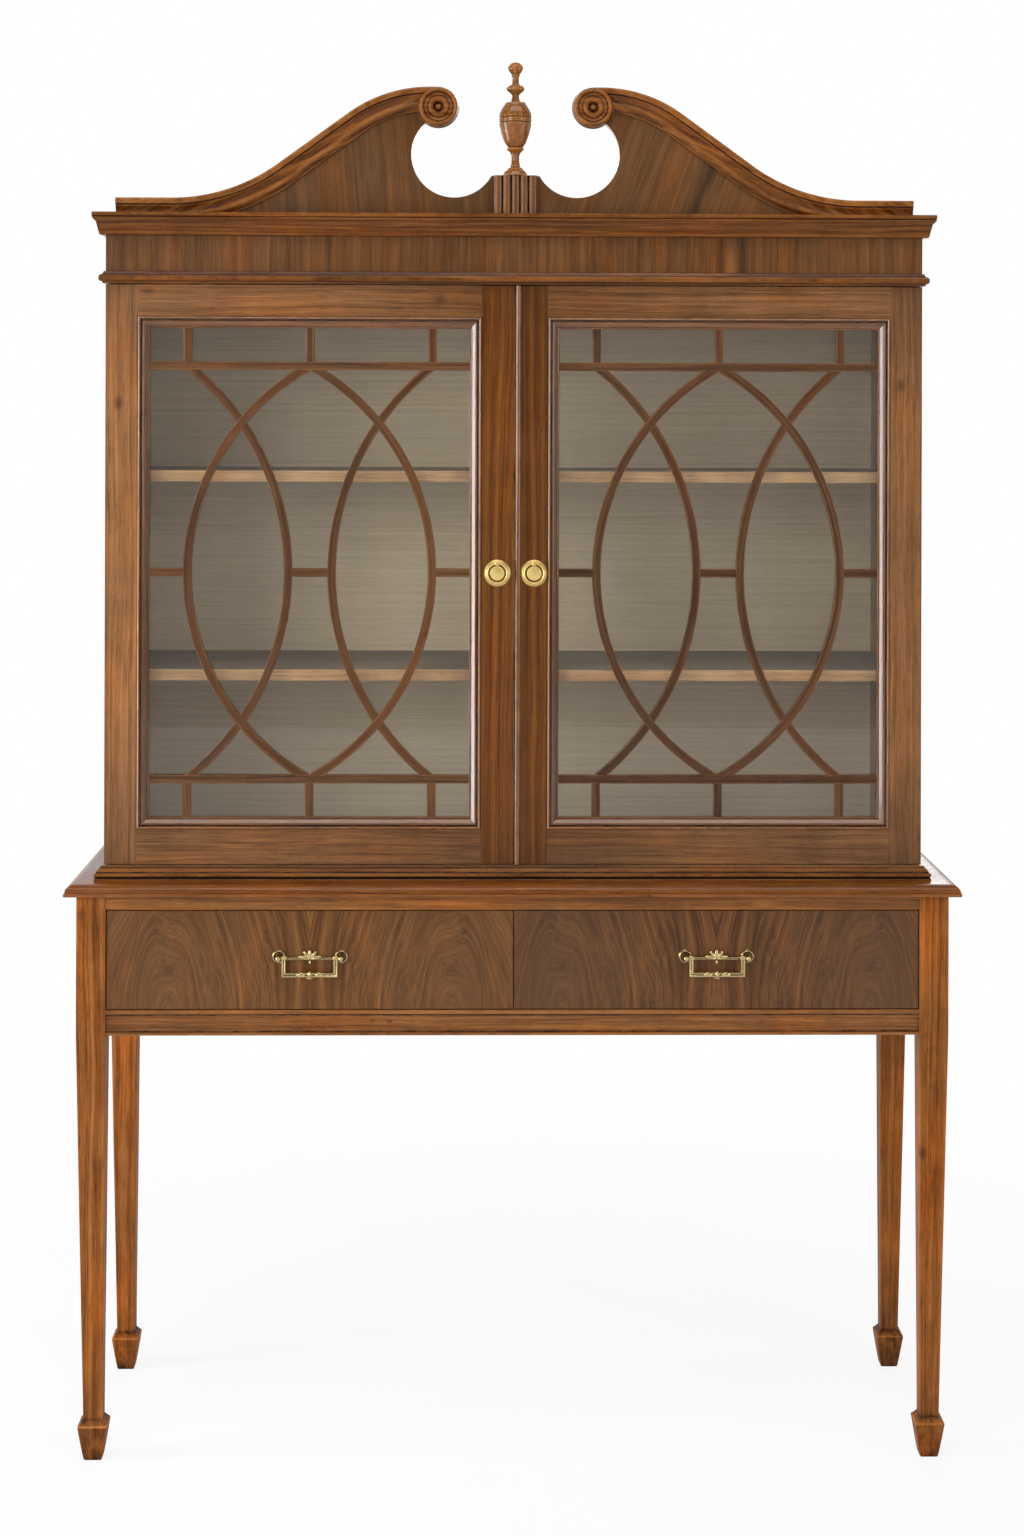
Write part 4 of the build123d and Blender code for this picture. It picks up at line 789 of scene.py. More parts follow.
# %% Drawer fronts
drawer_wood_left = walnut(
    "left_drawer_veneer", (0.076, 0.030, 0.008), (0.152, 0.062, 0.018), (0.235, 0.10, 0.031), shine=0.18,
    tilt=0.42, rings=70.0, wander=0.014, leaf=1.0, heart=0.215, ripple=0.04, patch=0.15, cloud=0.4,
    pore=0.15, figured=True, heart_shade=0.5,
)
drawer_wood_right = walnut(
    "right_drawer_veneer", (0.055, 0.023, 0.008), (0.12, 0.051, 0.018), (0.192, 0.084, 0.03), shine=0.18,
    tilt=0.42, rings=70.0, wander=0.016, leaf=1.0, heart=0.235, ripple=0.04, patch=0.15, cloud=0.4,
    pore=0.15, figured=True, heart_shade=0.6,
)
DRAWER_EASE, DRAWER_WEAR, FIGURE_DEPTH = 0.7, 0.1, 0.2
for side, wood, log in (
    ("left", drawer_wood_left, (0.10, 0.0, 0.0)), ("right", drawer_wood_right, (0.095, 0.0, 0.0)),
):
    low, high = box(f"drawer_{side}_front")
    front = board(low, high, 2, DRAWER_EASE, wear=DRAWER_WEAR)
    x, y, z = (front["points"] - (low + high) / 2).T
    front["grain"] = np.stack([z, x, y * FIGURE_DEPTH], -1) + np.array(log)
    piece(f"{side}_drawer_front", [front], wood, f"drawer_{side}",
          [f"drawer_{side}_front"])

# %% [markdown]
# ## Mouldings round the case
#
# Three mouldings run round the front and sides of the case and are mitred at the front corners. A
# rounded box could hint at them, but each was planed as a straight stick, so it is one profile on a
# straight path, and its grain breaks at the mitre as it should.


# %% Profiles of the mouldings
# In these three profiles the grooves are painted dark as shade, and the rounds are painted light, partly as
# wear and partly as highlight.
FOOT_MOULDING = [
    # out from the case, up, wear and shade
    (0, 0, -1), (13.3, 0, -0.6), (13.5, 0.4, 0), (13.5, 1.5, 0.3), (13.0, 2.1, -0.4), (11.6, 2.4, -1),
    (11.4, 3.8, -1), (11.8, 5.4, -1), (12.8, 5.9, 0), (13.4, 6.8, 0.4), (13.5, 8.4, 0.6),
    (13.2, 9.8, 0.4), (12.3, 10.8, 0), (10.8, 11.2, -1), (10.2, 12.0, -0.9), (9.8, 13.6, 0),
    (8.9, 15.4, 0), (7.4, 16.8, 0), (6.0, 17.6, -0.1), (5.4, 18.4, -1), (4.2, 18.7, -0.9),
    (4.0, 19.4, 0.3), (4.0, 20.9, 0.3), (3.5, 21.4, 0), (0, 21.5, -1),
]
FRIEZE_BEAD = [
    (0, 0, -1), (4.2, 0, -0.5), (4.5, 0.4, 0), (4.5, 2.2, 0), (4.9, 2.9, -0.7), (6.6, 3.0, -0.4),
    (8.3, 3.6, 0), (9.3, 5.0, 0.2), (9.7, 7.2, 0.4), (9.6, 9.2, 0.4), (8.9, 11.4, 0.2), (7.6, 12.9, 0),
    (6.2, 13.4, -0.5), (5.0, 13.7, -0.8), (4.4, 14.6, -0.2), (3.4, 16.2, 0), (2.7, 17.8, 0),
    (2.4, 18.4, -0.4), (0, 18.5, -1),
]
CORNICE = [
    (0, 0, -1), (7.6, 0, -0.5), (8.5, 0.5, 0), (8.9, 1.6, 0.1), (9.2, 6, 0), (9.6, 10.6, 0),
    (10.0, 12.4, 0), (10.8, 14.8, 0), (12.0, 17.4, 0), (13.8, 20.2, 0), (15.8, 22.6, 0),
    (17.6, 24.2, 0.2), (18.6, 25.2, 0.3), (18.7, 26.2, 0), (17.6, 26.9, -0.9), (17.5, 27.4, -0.9),
    (18.7, 28.1, 0), (19.0, 29, 0.3), (19.0, 32.4, 0.3), (18.7, 33.5, 0.5), (18.0, 34, 0.2),
    (0, 34, -0.2),
]
print(len(FOOT_MOULDING), len(FRIEZE_BEAD), len(CORNICE), "points in the three profiles")

# %% Mouldings round the case
moulding_wood = walnut(
    "moulding_walnut", (0.055, 0.015, 0.002), (0.12, 0.038, 0.006), (0.22, 0.082, 0.018), shine=0.18,
    rough=0.26,
)
CASE_HALF, CASE_FRONT, CASE_BACK = 0.6195, -0.1555, 0.2085


def round_the_case(profile, bottom, log):
    """Three runs of one profile: left side, front and right side. At a mitre the profile leans out by
    its own reach along the run."""
    places = np.array([
        [-CASE_HALF, CASE_BACK, bottom], [-CASE_HALF, CASE_FRONT, bottom],
        [CASE_HALF, CASE_FRONT, bottom], [CASE_HALF, CASE_BACK, bottom],
    ])
    outs = np.array([[-1, 0, 0], [-1, -1, 0], [1, -1, 0], [1, 0, 0]])
    return [carry(profile, places[i:i + 2], outs[i:i + 2], [UPWARD] * 2, log) for i in range(3)]


for node, name, profile, log in (
    ("case_foot_moulding", "foot_moulding", FOOT_MOULDING, (0.2, 0.11, 0.01)),
    ("frieze_bead", "bead_under_frieze", FRIEZE_BEAD, (1.2, 0.13, 0.03)),
    ("cornice", "cornice_moulding", CORNICE, (2.1, 0.05, 0.015)),
):
    bottom = box(node)[0][2]
    piece(name, round_the_case(profile, bottom, log), moulding_wood, stands_for=[node])

# %% [markdown]
# ## Frieze
#
# The frieze is a flat board with a leaf of figured veneer. A dark line in the log meets the face as a
# tall arch with a light core, to the right of the middle, and the rest of the leaf is calm. The log
# place puts the heart of the log there, and the shader's streak draws the line.

# %% Frieze
frieze_wood = walnut(
    "frieze_veneer", (0.085, 0.035, 0.012), (0.125, 0.052, 0.017), (0.165, 0.071, 0.025), tilt=0.2,
    rings=60.0, wander=0.006, ripple=0.06, patch=0.6, cloud=0.7, pore=0.15, shine=0.18, figured=True,
    streak=(0.018, 0.009),
)
FIGURE_X, FIGURE_DROP, FRIEZE_EASE, FRIEZE_WEAR = 0.33, 0.005, 0.6, 0.1
low, high = box("frieze_front")
frieze = board(low, high, 0, FRIEZE_EASE, wear=FRIEZE_WEAR)
frieze["grain"] = (frieze["points"] - np.array([FIGURE_X, low[1], low[2] - FIGURE_DROP]))[:, [2, 0, 1]]
piece("frieze_board", [frieze], frieze_wood, stands_for=["frieze_front"])

# %% [markdown]
# ## Pediment boards and swan necks
#
# Two shaped boards rise to the middle and break off. They keep their CAD shape and get an upright
# veneer. Along their tops run the swan necks, mouldings with a hollow, a slope and a crown in one
# sweep. A carver saws a neck from a plank and works the profile with gouges, so here the profile
# follows the curve, but the grain runs straight through, slanted as the plank was sawn.


# %% Pediment boards
pediment_wood_left = walnut(
    "left_pediment_veneer", (0.072, 0.033, 0.011), (0.10, 0.045, 0.016), (0.135, 0.06, 0.022),
    axes=(2, 0, 1), log=(-1.9, 1.2, 0), rings=60.0, lean=-0.08, ripple=0.05, cloud=0.8, pore=0.15,
    shine=0.18,
)
pediment_wood_right = walnut(
    "right_pediment_veneer", (0.088, 0.040, 0.015), (0.122, 0.055, 0.02), (0.16, 0.072, 0.026),
    axes=(2, 0, 1), log=(-1.9, 0.7, 0), rings=40.0, lean=0.35, wander=0.008, ripple=0.05, cloud=0.6,
    pore=0.15, shine=0.18, streak=(0.997, 0.016),
)
dress(pediment_wood_left, "pediment_board_left")
dress(pediment_wood_right, "pediment_board_right")

# %% The swan-neck line and profile
ROSETTE_OUT, ARC_POINTS = 117.0, 25


def neck_path():
    """Points out from the middle, heights and slopes of the swan-neck line: level, a hollow arc of
    radius R (out - R sin, up + R (1 - cos)), a straight slope, a crown arc the other way, level."""
    half, end, crest_u, crest_h = 603.5, 22.0, 130.0, 191.5
    hollow, crown, slope = 272.7, 208.5, math.radians(36)
    crown_u, crown_h = crest_u + crown * math.sin(slope), crest_h - crown * (1 - math.cos(slope))
    hollow_h = end + hollow * (1 - math.cos(slope))
    hollow_u = crown_u + (crown_h - hollow_h) / math.tan(slope)
    start_u = hollow_u + hollow * math.sin(slope)
    turn = np.linspace(0, slope, ARC_POINTS)
    u = [np.array([half, (half + start_u) / 2]), start_u - hollow * np.sin(turn),
         crest_u + crown * np.sin(turn[::-1]), np.array([ROSETTE_OUT])]
    h = [np.array([end, end]), end + hollow * (1 - np.cos(turn)),
         crest_h - crown * (1 - np.cos(turn[::-1])), np.array([crest_h])]
    lean = [np.zeros(2), turn, turn[::-1], np.zeros(1)]
    return (np.concatenate(a) for a in (u, h, lean))


# The hollows of the neck are painted dark as shade, and its crown is painted light, partly as wear and partly
# as highlight from above.
NECK = [
    # down from the line, forward, wear and shade
    (0, -1, 0), (0, 11.5, 0.1), (0.6, 13.0, 0.8), (2.0, 13.8, 0.9), (4.5, 14.0, 0.4), (7.2, 13.8, 0.7),
    (8.6, 13.0, 0.5), (9.2, 11.6, -0.4), (9.6, 10.6, -1), (10.4, 10.4, -1), (10.8, 11.0, -0.2),
    (11.6, 11.1, 0.6), (12.6, 10.2, 0.1), (14, 8.4, 0), (16.4, 6.6, 0), (19, 5.7, 0), (21, 5.9, 0),
    (23, 7.0, 0.3), (25, 7.8, 0.6), (27.4, 7.9, 0.5), (29.6, 6.8, 0.1), (31.4, 5.0, 0),
    (32.8, 4.0, -0.4), (33.4, 3.6, -0.9), (34.4, 3.6, 0.1), (35.6, 3.4, 0.6), (36, 2.6, 0),
    (36, -1, -0.8),
]
u, h, lean = neck_path()
print("the swan-neck line rises", h.max() - h.min(), "mm over", u.max() - u.min(), "mm")

# %% Swan necks
CORNICE_TOP, NECK_SEAT, PLANK_Z, NECK_TONE = 1.875, 0.0002, 2.0, 0.13
SAWN_COS, SAWN_SIN = math.cos(math.radians(25)), math.sin(math.radians(25))
necks = []
for sign, log in ((-1, (0.0, 0.03, 0.01)), (1, (1.5, -0.035, 0.012))):
    places = np.stack([sign * u * MM, np.full(len(u), CASE_FRONT), CORNICE_TOP + h * MM], -1)
    downs = np.stack([-sign * np.sin(lean), 0 * lean, -np.cos(lean)], -1)
    neck = carry(NECK, places, downs, np.tile(FORWARD, (len(u), 1)), log, NECK_TONE)
    neck["points"][:, 2] = np.maximum(neck["points"][:, 2], CORNICE_TOP + NECK_SEAT)
    x, y, z = neck["points"].T - np.array([[0], [CASE_FRONT], [PLANK_Z]])
    along, across = sign * x * SAWN_COS - z * SAWN_SIN, sign * x * SAWN_SIN + z * SAWN_COS
    neck["grain"] = np.stack([along, across, y], -1) + np.array(log)
    necks.append(neck)
piece("swan_neck_mouldings", necks, moulding_wood, stands_for=["swan_necks"])

# %% [markdown]
# ## Rosettes
#
# A turned disc ends each swan neck: a bold rim, a hollow, an inner ring and a button. A lathe makes it
# from one outline, and so does this step. A smooth line through the points of the outline saves
# drawing each curve, and the grooves between the rings are painted dark as shade.

# %% Rosettes
ROSETTE = through([
    # radius, forward, wear and shade
    (0, 0, 0), (29.5, 0, -0.5), (29.5, 13.5, 0), (29.3, 16.6, 0.1), (28.4, 19.2, 0.3),
    (26.6, 20.8, 0.8), (24.6, 20.6, 0.3), (23.2, 19.3, 0), (22.4, 17.6, -0.8), (21.6, 17.5, -0.7),
    (20.9, 18.1, 0.2), (19.6, 17.6, 0), (18.0, 16.7, 0), (16.9, 16.3, -0.4), (16.3, 16.4, -0.8),
    (15.8, 17.7, 0), (14.6, 19.2, 0.3), (12.8, 19.9, 0.4), (10.8, 19.6, 0.2), (9.2, 18.3, 0),
    (8.1, 16.6, -0.4), (7.5, 14.0, -0.6), (6.6, 12.6, -0.8), (4.9, 12.5, -0.8), (4.3, 14.2, -0.2),
    (3.2, 15.9, 0.5), (1.4, 16.7, 0.6), (0, 16.9, 0.7),
])
ROSETTE_UP, ROSETTE_TONE = 0.161, 0.35
rosettes = [
    turned(ROSETTE, (sign * ROSETTE_OUT * MM, CASE_FRONT, CORNICE_TOP + ROSETTE_UP), FORWARD, (0, 2, 1),
           (0.1 * sign, 0.06, 0.02), tone=ROSETTE_TONE)
    for sign in (-1, 1)
]
piece("rosette_discs", rosettes, moulding_wood, stands_for=["rosettes"])

# %% [markdown]
# ## Reeded block
#
# Between the necks a small block with five upright reeds carries the urn. Each reed is a half round
# that a moulding plane cuts along the grain. Five half rounds side by side, with a narrow groove
# between them, make one outline, which is carried up the block.

# %% Reeded block
reed_wood = walnut(
    "reeded_walnut", (0.07, 0.027, 0.008), (0.14, 0.056, 0.018), (0.21, 0.09, 0.03), rough=0.2,
)
REEDS, REED_WIDTH, REED_RISE, REED_GROOVE = 5, 13.2, 5.0, -0.3
BLOCK_HALF, BLOCK_BACK, BLOCK_FRONT, BLOCK_HIGH = 33, -35, -167.5, 0.058
# The reeds are painted light along their crests, partly as wear and partly as highlight, and dark at their
# edges and in the grooves between them as painted shade.
REED_FULLNESS, REED_CREST_WEAR_AND_HIGHLIGHT, REED_EDGE_SHADE = 0.8, 0.5, -0.35
across = np.linspace(-1, 1, 11)[1:-1]
bulge = np.sqrt(1 - across**2) ** REED_FULLNESS
reeds = []
for place in range(REEDS):
    middle = (place - (REEDS - 1) / 2) * REED_WIDTH
    wear_and_shade = REED_CREST_WEAR_AND_HIGHLIGHT * bulge + REED_EDGE_SHADE
    reeds.append(np.stack([middle + across / 2 * REED_WIDTH, REED_RISE * bulge, wear_and_shade], -1))
    reeds.append([[middle + REED_WIDTH / 2, REED_GROOVE, -1.0]])
left_edge = [[-BLOCK_HALF, BLOCK_BACK, 0], [-BLOCK_HALF, REED_GROOVE, -0.2]]
right_edge = [[BLOCK_HALF, REED_GROOVE, -0.2], [BLOCK_HALF, BLOCK_BACK, 0]]
outline = np.concatenate([left_edge] + reeds[:-1] + [right_edge])
foot = np.array([0, (BLOCK_FRONT + REED_RISE) * MM, CORNICE_TOP])
places = [foot, foot + UPWARD * BLOCK_HIGH]
block = carry(outline, places, [[1, 0, 0]] * 2, [FORWARD] * 2, (0.1, 0.08, 0.02))
piece("reeded_block", [block], reed_wood, stands_for=["finial_block"])

# %% [markdown]
# ## Urn finial
#
# The urn on the block is turned from one stick of wood: a foot, a stem, a swelling body with two fine
# grooves, a lid and a bud at the tip. A stack of spheres and cones would show joins, so the whole
# outline is one smooth line through a table, spun round the upright axis.

# %% Urn finial
turned_wood = walnut(
    "turned_walnut", (0.11, 0.036, 0.004), (0.22, 0.080, 0.014), (0.34, 0.14, 0.03), tilt=0.1, rough=0.2,
    gloss=0.25,
)
# The fine grooves of the urn are painted dark as shade, and its rounds are painted light, partly as wear and
# partly as highlight.
FINIAL = through([
    # radius, height, wear and shade
    (0, 0, -0.5), (19.9, 0, -0.4), (19.9, 1.4, 0.2), (18.9, 3.0, 0.3), (17.4, 6.2, 0), (15.4, 8.4, 0),
    (13.6, 9.6, -0.3), (12.7, 10.4, 0.2), (12.4, 11.7, 0.4), (11.2, 12.6, -0.2), (9.3, 13.6, -0.2),
    (7.5, 16.2, 0), (6.4, 21, 0), (6.1, 27, 0), (6.3, 31.5, 0), (7.6, 35, 0), (9.8, 37.6, 0),
    (12.2, 39.6, 0.2), (13.4, 41, 0.5), (13.4, 42.4, 0.5), (12.6, 43.4, 0), (11.4, 44.1, -0.8),
    (12.2, 45.0, -0.3), (14.4, 48, 0), (16.9, 51.4, 0), (20.3, 60.4, 0), (22.9, 69.7, 0),
    (24.6, 77.5, 0), (25.0, 80.4, 0.2), (24.3, 81.2, -1), (24.3, 81.8, -1), (25.1, 82.6, 0.3),
    (25.2, 85, 0), (25.2, 88, 0.3), (24.4, 88.7, -1), (24.4, 89.3, -1), (25.2, 90.1, 0.2),
    (25.0, 93.4, 0), (23.9, 97.6, 0), (21.2, 103.2, 0), (18.0, 107.9, 0), (16.6, 110.2, 0.2),
    (16.0, 111.4, 0.4), (14.6, 112.1, 0), (10, 112.5, -0.3), (7.6, 112.8, -0.6), (6.8, 114.6, 0),
    (6.2, 118, 0), (5.3, 121.6, 0), (6.0, 124, 0), (8, 126.1, 0), (10.6, 128, 0), (13.2, 130.4, 0.2),
    (14.2, 132.4, 0.5), (13.6, 134.8, 0.2), (10.8, 137.4, 0), (7.3, 139.4, 0), (5.5, 141.4, -0.4),
    (5.1, 146.9, 0), (5.3, 151, -0.2), (6.5, 152.7, 0.2), (6.7, 154.2, 0.2), (6.5, 155.4, -0.6),
    (8.2, 157, 0), (10.4, 159.9, 0), (11.8, 163.6, 0.1), (11.2, 167.3, 0.2), (8.7, 170.5, 0.2),
    (5.8, 172.4, 0.2), (3.0, 173.3, 0.2), (0, 173.5, 0.2),
])
FINIAL_Y = -0.1475
urn = turned(FINIAL, (0, FINIAL_Y, CORNICE_TOP + BLOCK_HIGH), UPWARD, (2, 0, 1), (0.0, 0.006, -0.014))
piece("urn_finial", [urn], turned_wood, stands_for=["finial"])

# %% [markdown]
# ## Shelves
#
# Two plain shelves rest on brass pins behind the glass. A lighter lipping covers their front edges. The
# two woods meet in a straight line, so board and lipping are two pieces with a finish each, and no mask
# is needed in the shader.

# %% Shelves
shelf_wood = walnut("shelf_wood", (0.09, 0.062, 0.04), (0.14, 0.10, 0.066), (0.19, 0.14, 0.095), rough=0.45)
lipping_wood = walnut("shelf_lipping_wood", (0.23, 0.118, 0.05), (0.33, 0.182, 0.082), (0.43, 0.25, 0.12))
SHELF_TOPS, SHELF_THICK, LIPPING = (1.180512, 1.484464), 0.017, 0.006
SHELF_EASE, LIPPING_EASE = 0.6, 0.8
low, high = box("shelves")
boards, lips = [], []
for i, top in enumerate(SHELF_TOPS):
    bottom, seam = top - SHELF_THICK, low[1] + LIPPING
    board_log, lipping_log = (0.3, 0.06 * i, 0.02), (0.9, 0.05 + 0.03 * i, 0.01)
    boards.append(board((low[0], seam, bottom), (high[0], high[1], top), 0, SHELF_EASE, board_log))
    lips.append(board((low[0], low[1], bottom), (high[0], seam, top), 0, LIPPING_EASE, lipping_log))
piece("shelf_boards", boards, shelf_wood, stands_for=["shelves"])
piece("shelf_lippings", lips, lipping_wood)

# %% [markdown]
# ## Door frames
#
# Each door is a frame of two stiles and two rails. The outer stiles are light in the middle and darker
# at the ends, the meeting stiles are redder, and every rail has its own tone, as boards from several
# planks have. One finish for the whole frame would lose the joints, so each kind of board has its own,
# and the CAD frame gives the outline.


# %% Door frames
outer_stile_wood = walnut(
    "outer_stile_walnut", (0.15, 0.062, 0.018), (0.25, 0.108, 0.038), (0.34, 0.155, 0.06), knots=0.6,
    ends=(0.2, 0.27, 0.44),
)
meeting_stile_wood = walnut(
    "meeting_stile_walnut", (0.078, 0.022, 0.002), (0.138, 0.043, 0.004), (0.20, 0.067, 0.008), cloud=0.25,
    ends=(1.7, 0.3, 0.5),
)
rail_wood = walnut(
    "rail_walnut", (0.095, 0.040, 0.013), (0.172, 0.074, 0.026), (0.25, 0.112, 0.04), ripple=0.14,
    knots=0.5, ends=(0.0, 0.26, 0.0),
)
DOORS = ((-1, "left"), (1, "right"))
STILE_WIDE, DOOR_THICK, LOWER_RAIL_HIGH, UPPER_RAIL_HIGH = 0.049, 0.022, 0.053, 0.048
STILE_EASE, STILE_WEAR, RAIL_END_EASE, RAIL_WEAR = 0.6, 0.12, 0.4, 0.05
FRAME_HALF, FRAME_Z, CLOSER = np.array([260.0, 388.0]), 1.3305, 0.00105
STILE_TONES = {"left": 0.08, "right": -0.10}
RAIL_TONES = {"left": (0.06, 0.18), "right": (0.0, 0.1)}


def stile(x, low, high, log, tone, reach=0.0):
    """An upright of the door frame from its left edge, as wide as the frame's stiles and a reach more."""
    start = (x, CASE_FRONT, low[2])
    end = (x + STILE_WIDE + reach, CASE_FRONT + DOOR_THICK, high[2])
    return board(start, end, 2, STILE_EASE, log, STILE_WEAR, tone)


door_middles = {}
for sign, side in DOORS:
    door = f"door_{side}"
    low, high = box(f"{door}_stiles")
    middle = door_middles[side] = (low[0] + high[0]) / 2
    outer, meeting = (low[0], high[0] - STILE_WIDE) if sign < 0 else (high[0] - STILE_WIDE, low[0])
    tone, closer = STILE_TONES[side], CLOSER if sign < 0 else 0.0
    outer_stile = stile(outer, low, high, (0.2, 0.09 * sign, 0.02), tone)
    meeting_stile = stile(meeting, low, high, (1.7, 0.12 * sign, 0.01), tone, closer)
    piece(f"{side}_outer_stile", [outer_stile], outer_stile_wood, door, stands_for=[f"{door}_stiles"])
    piece(f"{side}_meeting_stile", [meeting_stile], meeting_stile_wood, door)
    half = FRAME_HALF[0] * MM
    rails = [
        board((middle - half, CASE_FRONT, bottom), (middle + half, CASE_FRONT + DOOR_THICK, top), 0,
              RAIL_END_EASE, log, RAIL_WEAR, rail_tone)
        for bottom, top, log, rail_tone in (
            (low[2], low[2] + LOWER_RAIL_HIGH, (0.3 * sign, 0.03, 0.02), RAIL_TONES[side][0]),
            (high[2] - UPPER_RAIL_HIGH, high[2], (0.3 * sign, 0.06, 0.03), RAIL_TONES[side][1]),
        )
    ]
    piece(f"{side}_door_rails", rails, rail_wood, door, stands_for=[f"{door}_rails"])

# %% [markdown]
# ## Door mouldings
#
# A small polished moulding runs round the inside of each frame, mitred at the corners. It is a picture
# frame: four sticks of one profile, whose ends lean inwards at 45 degrees. Its rounds catch the light
# of the lamps, so it has a glossier coat than the frame.

# %% Door mouldings
glossy_wood = walnut(
    "polished_moulding_walnut", (0.07, 0.026, 0.008), (0.135, 0.053, 0.018), (0.21, 0.088, 0.03),
    rough=0.14, gloss=0.6,
)
# The groove behind the bead and the edge at the glass are painted dark as shade; the bead is painted light,
# partly as wear and partly as highlight.
DOOR_MOULDING = [
    # inward, forward, wear and shade
    (0, -12.5, -1), (0, 0.6, -0.8), (0.3, 2.0, 0), (0.9, 3.0, 0.6), (1.9, 3.5, 0.9), (3.0, 3.2, 0.6),
    (3.7, 2.3, 0), (4.1, 0.9, -0.5), (4.5, -0.6, -0.7), (5.6, -0.8, -0.7), (6.0, -0.3, -0.5),
    (6.4, 0.3, 0), (7.0, 0.8, 0.1), (7.8, 1.15, 0.2), (8.8, 0.9, 0.1), (9.6, 0.2, 0), (11.6, -1.65, 0),
    (13.6, -3.5, 0), (14.4, -4.25, 0), (14.8, -5.1, -0.7), (15.6, -5.5, -0.2), (17.1, -5.5, 0.5),
    (17.5, -6.0, 0.3), (17.5, -12.5, -0.8),
]
corners = np.array([[-1, -1], [1, -1], [1, 1], [-1, 1], [-1, -1]]) * FRAME_HALF * MM
for _, side in DOORS:
    strips = []
    for i in range(4):
        ends = corners[[i, i + 1]]
        places = np.stack([door_middles[side] + ends[:, 0], np.full(2, CASE_FRONT), FRAME_Z + ends[:, 1]], -1)
        inward = -np.sign(ends)
        outs = np.stack([inward[:, 0], np.zeros(2), inward[:, 1]], -1)
        strips.append(carry(DOOR_MOULDING, places, outs, [FORWARD] * 2, (0.5 * i, 0.07 + 0.02 * i, 0.01)))
    piece(f"{side}_door_moulding", strips, glossy_wood, f"door_{side}", stands_for=[f"door_{side}_moulding"])

# %% [markdown]
# ## Glazing bars
#
# The bars make two crossing ovals between an upper and a lower row of small panes. The joiner works
# one flat bar with rubbed edges, straight for the panes and bent for the ovals. So one profile is
# carried along lines and arcs. Where two arcs cross, one lies a hair behind the other, as a halved
# joint shows.


# %% Straight and curved bars
# The sides of each bar, down to the glass, are painted dark as shade, and its edges light, partly as wear and
# partly as highlight.
BAR = [
    # across, forward, wear and shade
    (-6.5, -5.8, -1), (-6.5, -1.6, -0.8), (-6.5, -0.9, 0.4), (-6.0, -0.2, 1.0), (-5.2, 0, 0.7),
    (-4.4, 0.04, 0), (4.4, 0.04, 0), (5.2, 0, 0.7), (6.0, -0.2, 1.0), (6.5, -0.9, 0.4),
    (6.5, -1.6, -0.8), (6.5, -5.8, -1), (6.2, -6, 0), (-6.2, -6, 0),
]
SIGHT_HALF, UPRIGHT, TRANSOM, INNER_REACH = np.array([242.5, 370.5]), 185.5, 313.5, 33.0
BUTT, OUTER_BACK, INNER_BACK, BEND_POINTS = 6, 0.25, 0.55, 49


def straight_bar(start, end, centre, log, tone):
    """A glazing bar between two points of the door's face: its profile on a straight path."""
    start, end = np.asarray(start, float), np.asarray(end, float)
    way = (end - start) / np.linalg.norm(end - start)
    side = np.array([way[1], 0, -way[0]])
    places = [centre + np.array([p[0], 0, p[1]]) * MM for p in (start, end)]
    return carry(BAR, places, [side] * 2, [FORWARD] * 2, log, tone)


def curved_bar(middle_x, radius, facing, back, centre, log, tone):
    """A bar bent to an arc: middle + radius times (cos, sin) of turns that reach the two transoms. It
    lies back a little, so that of two bars that cross one runs over the other."""
    reach = math.asin(TRANSOM / radius)
    turn = np.linspace(-reach, reach, BEND_POINTS)
    spokes = np.stack([facing * np.cos(turn), 0 * turn, np.sin(turn)], -1)
    places = centre + np.array([middle_x, back, 0]) * MM + spokes * radius * MM
    return carry(BAR, places, spokes, np.tile(FORWARD, (BEND_POINTS, 1)), log, tone)


# %% Glazing bars
bar_wood = walnut("bar_walnut", (0.042, 0.018, 0.007), (0.078, 0.034, 0.013), (0.128, 0.058, 0.023))
BAR_COUNT, TONE_SPREAD, BAR_SET_BACK = 20, 0.25, 0.0065


def bars(centre, seed, tone):
    """Every glazing bar of a door, each sawn from another place in the log. An arc that rises by its sag
    over half a chord has the radius (half chord squared + sag squared) / (2 * sag)."""
    draw = np.random.default_rng(seed)
    logs = draw.uniform((0, 0.06, -0.02), (3, 0.16, 0.02), (BAR_COUNT, 3))
    tones = draw.uniform(tone - TONE_SPREAD, tone + TONE_SPREAD, BAR_COUNT)
    sticks = zip(logs[::-1].tolist(), tones[::-1].tolist())
    wide, high = SIGHT_HALF
    made = []
    for level in (-1, 1):
        z = level * TRANSOM
        made.append(straight_bar((-wide, z), (wide, z), centre, *next(sticks)))
        for x in (-UPRIGHT, 0, UPRIGHT):
            made.append(straight_bar((x, z + level * BUTT), (x, level * high), centre, *next(sticks)))
    sag = UPRIGHT - INNER_REACH
    outer, inner = ((TRANSOM**2 + rise**2) / (2 * rise) for rise in (UPRIGHT, sag))
    for half in (-1, 1):
        outer_x, inner_x = half * (UPRIGHT - outer), half * (INNER_REACH + inner)
        made.append(curved_bar(outer_x, outer, half, OUTER_BACK, centre, *next(sticks)))
        made.append(curved_bar(inner_x, inner, -half, INNER_BACK, centre, *next(sticks)))
        made.append(straight_bar((half * (UPRIGHT + BUTT), 0), (half * wide, 0), centre, *next(sticks)))
    made.append(straight_bar((BUTT - INNER_REACH, 0), (INNER_REACH - BUTT, 0), centre, *next(sticks)))
    return made


for side, seed, tone in (("left", 10, 0.3), ("right", 12, -0.1)):
    centre = np.array([door_middles[side], CASE_FRONT + BAR_SET_BACK, FRAME_Z])
    piece(f"{side}_glazing_bars", bars(centre, seed, tone), bar_wood, f"door_{side}",
          stands_for=[f"door_{side}_tracery"])

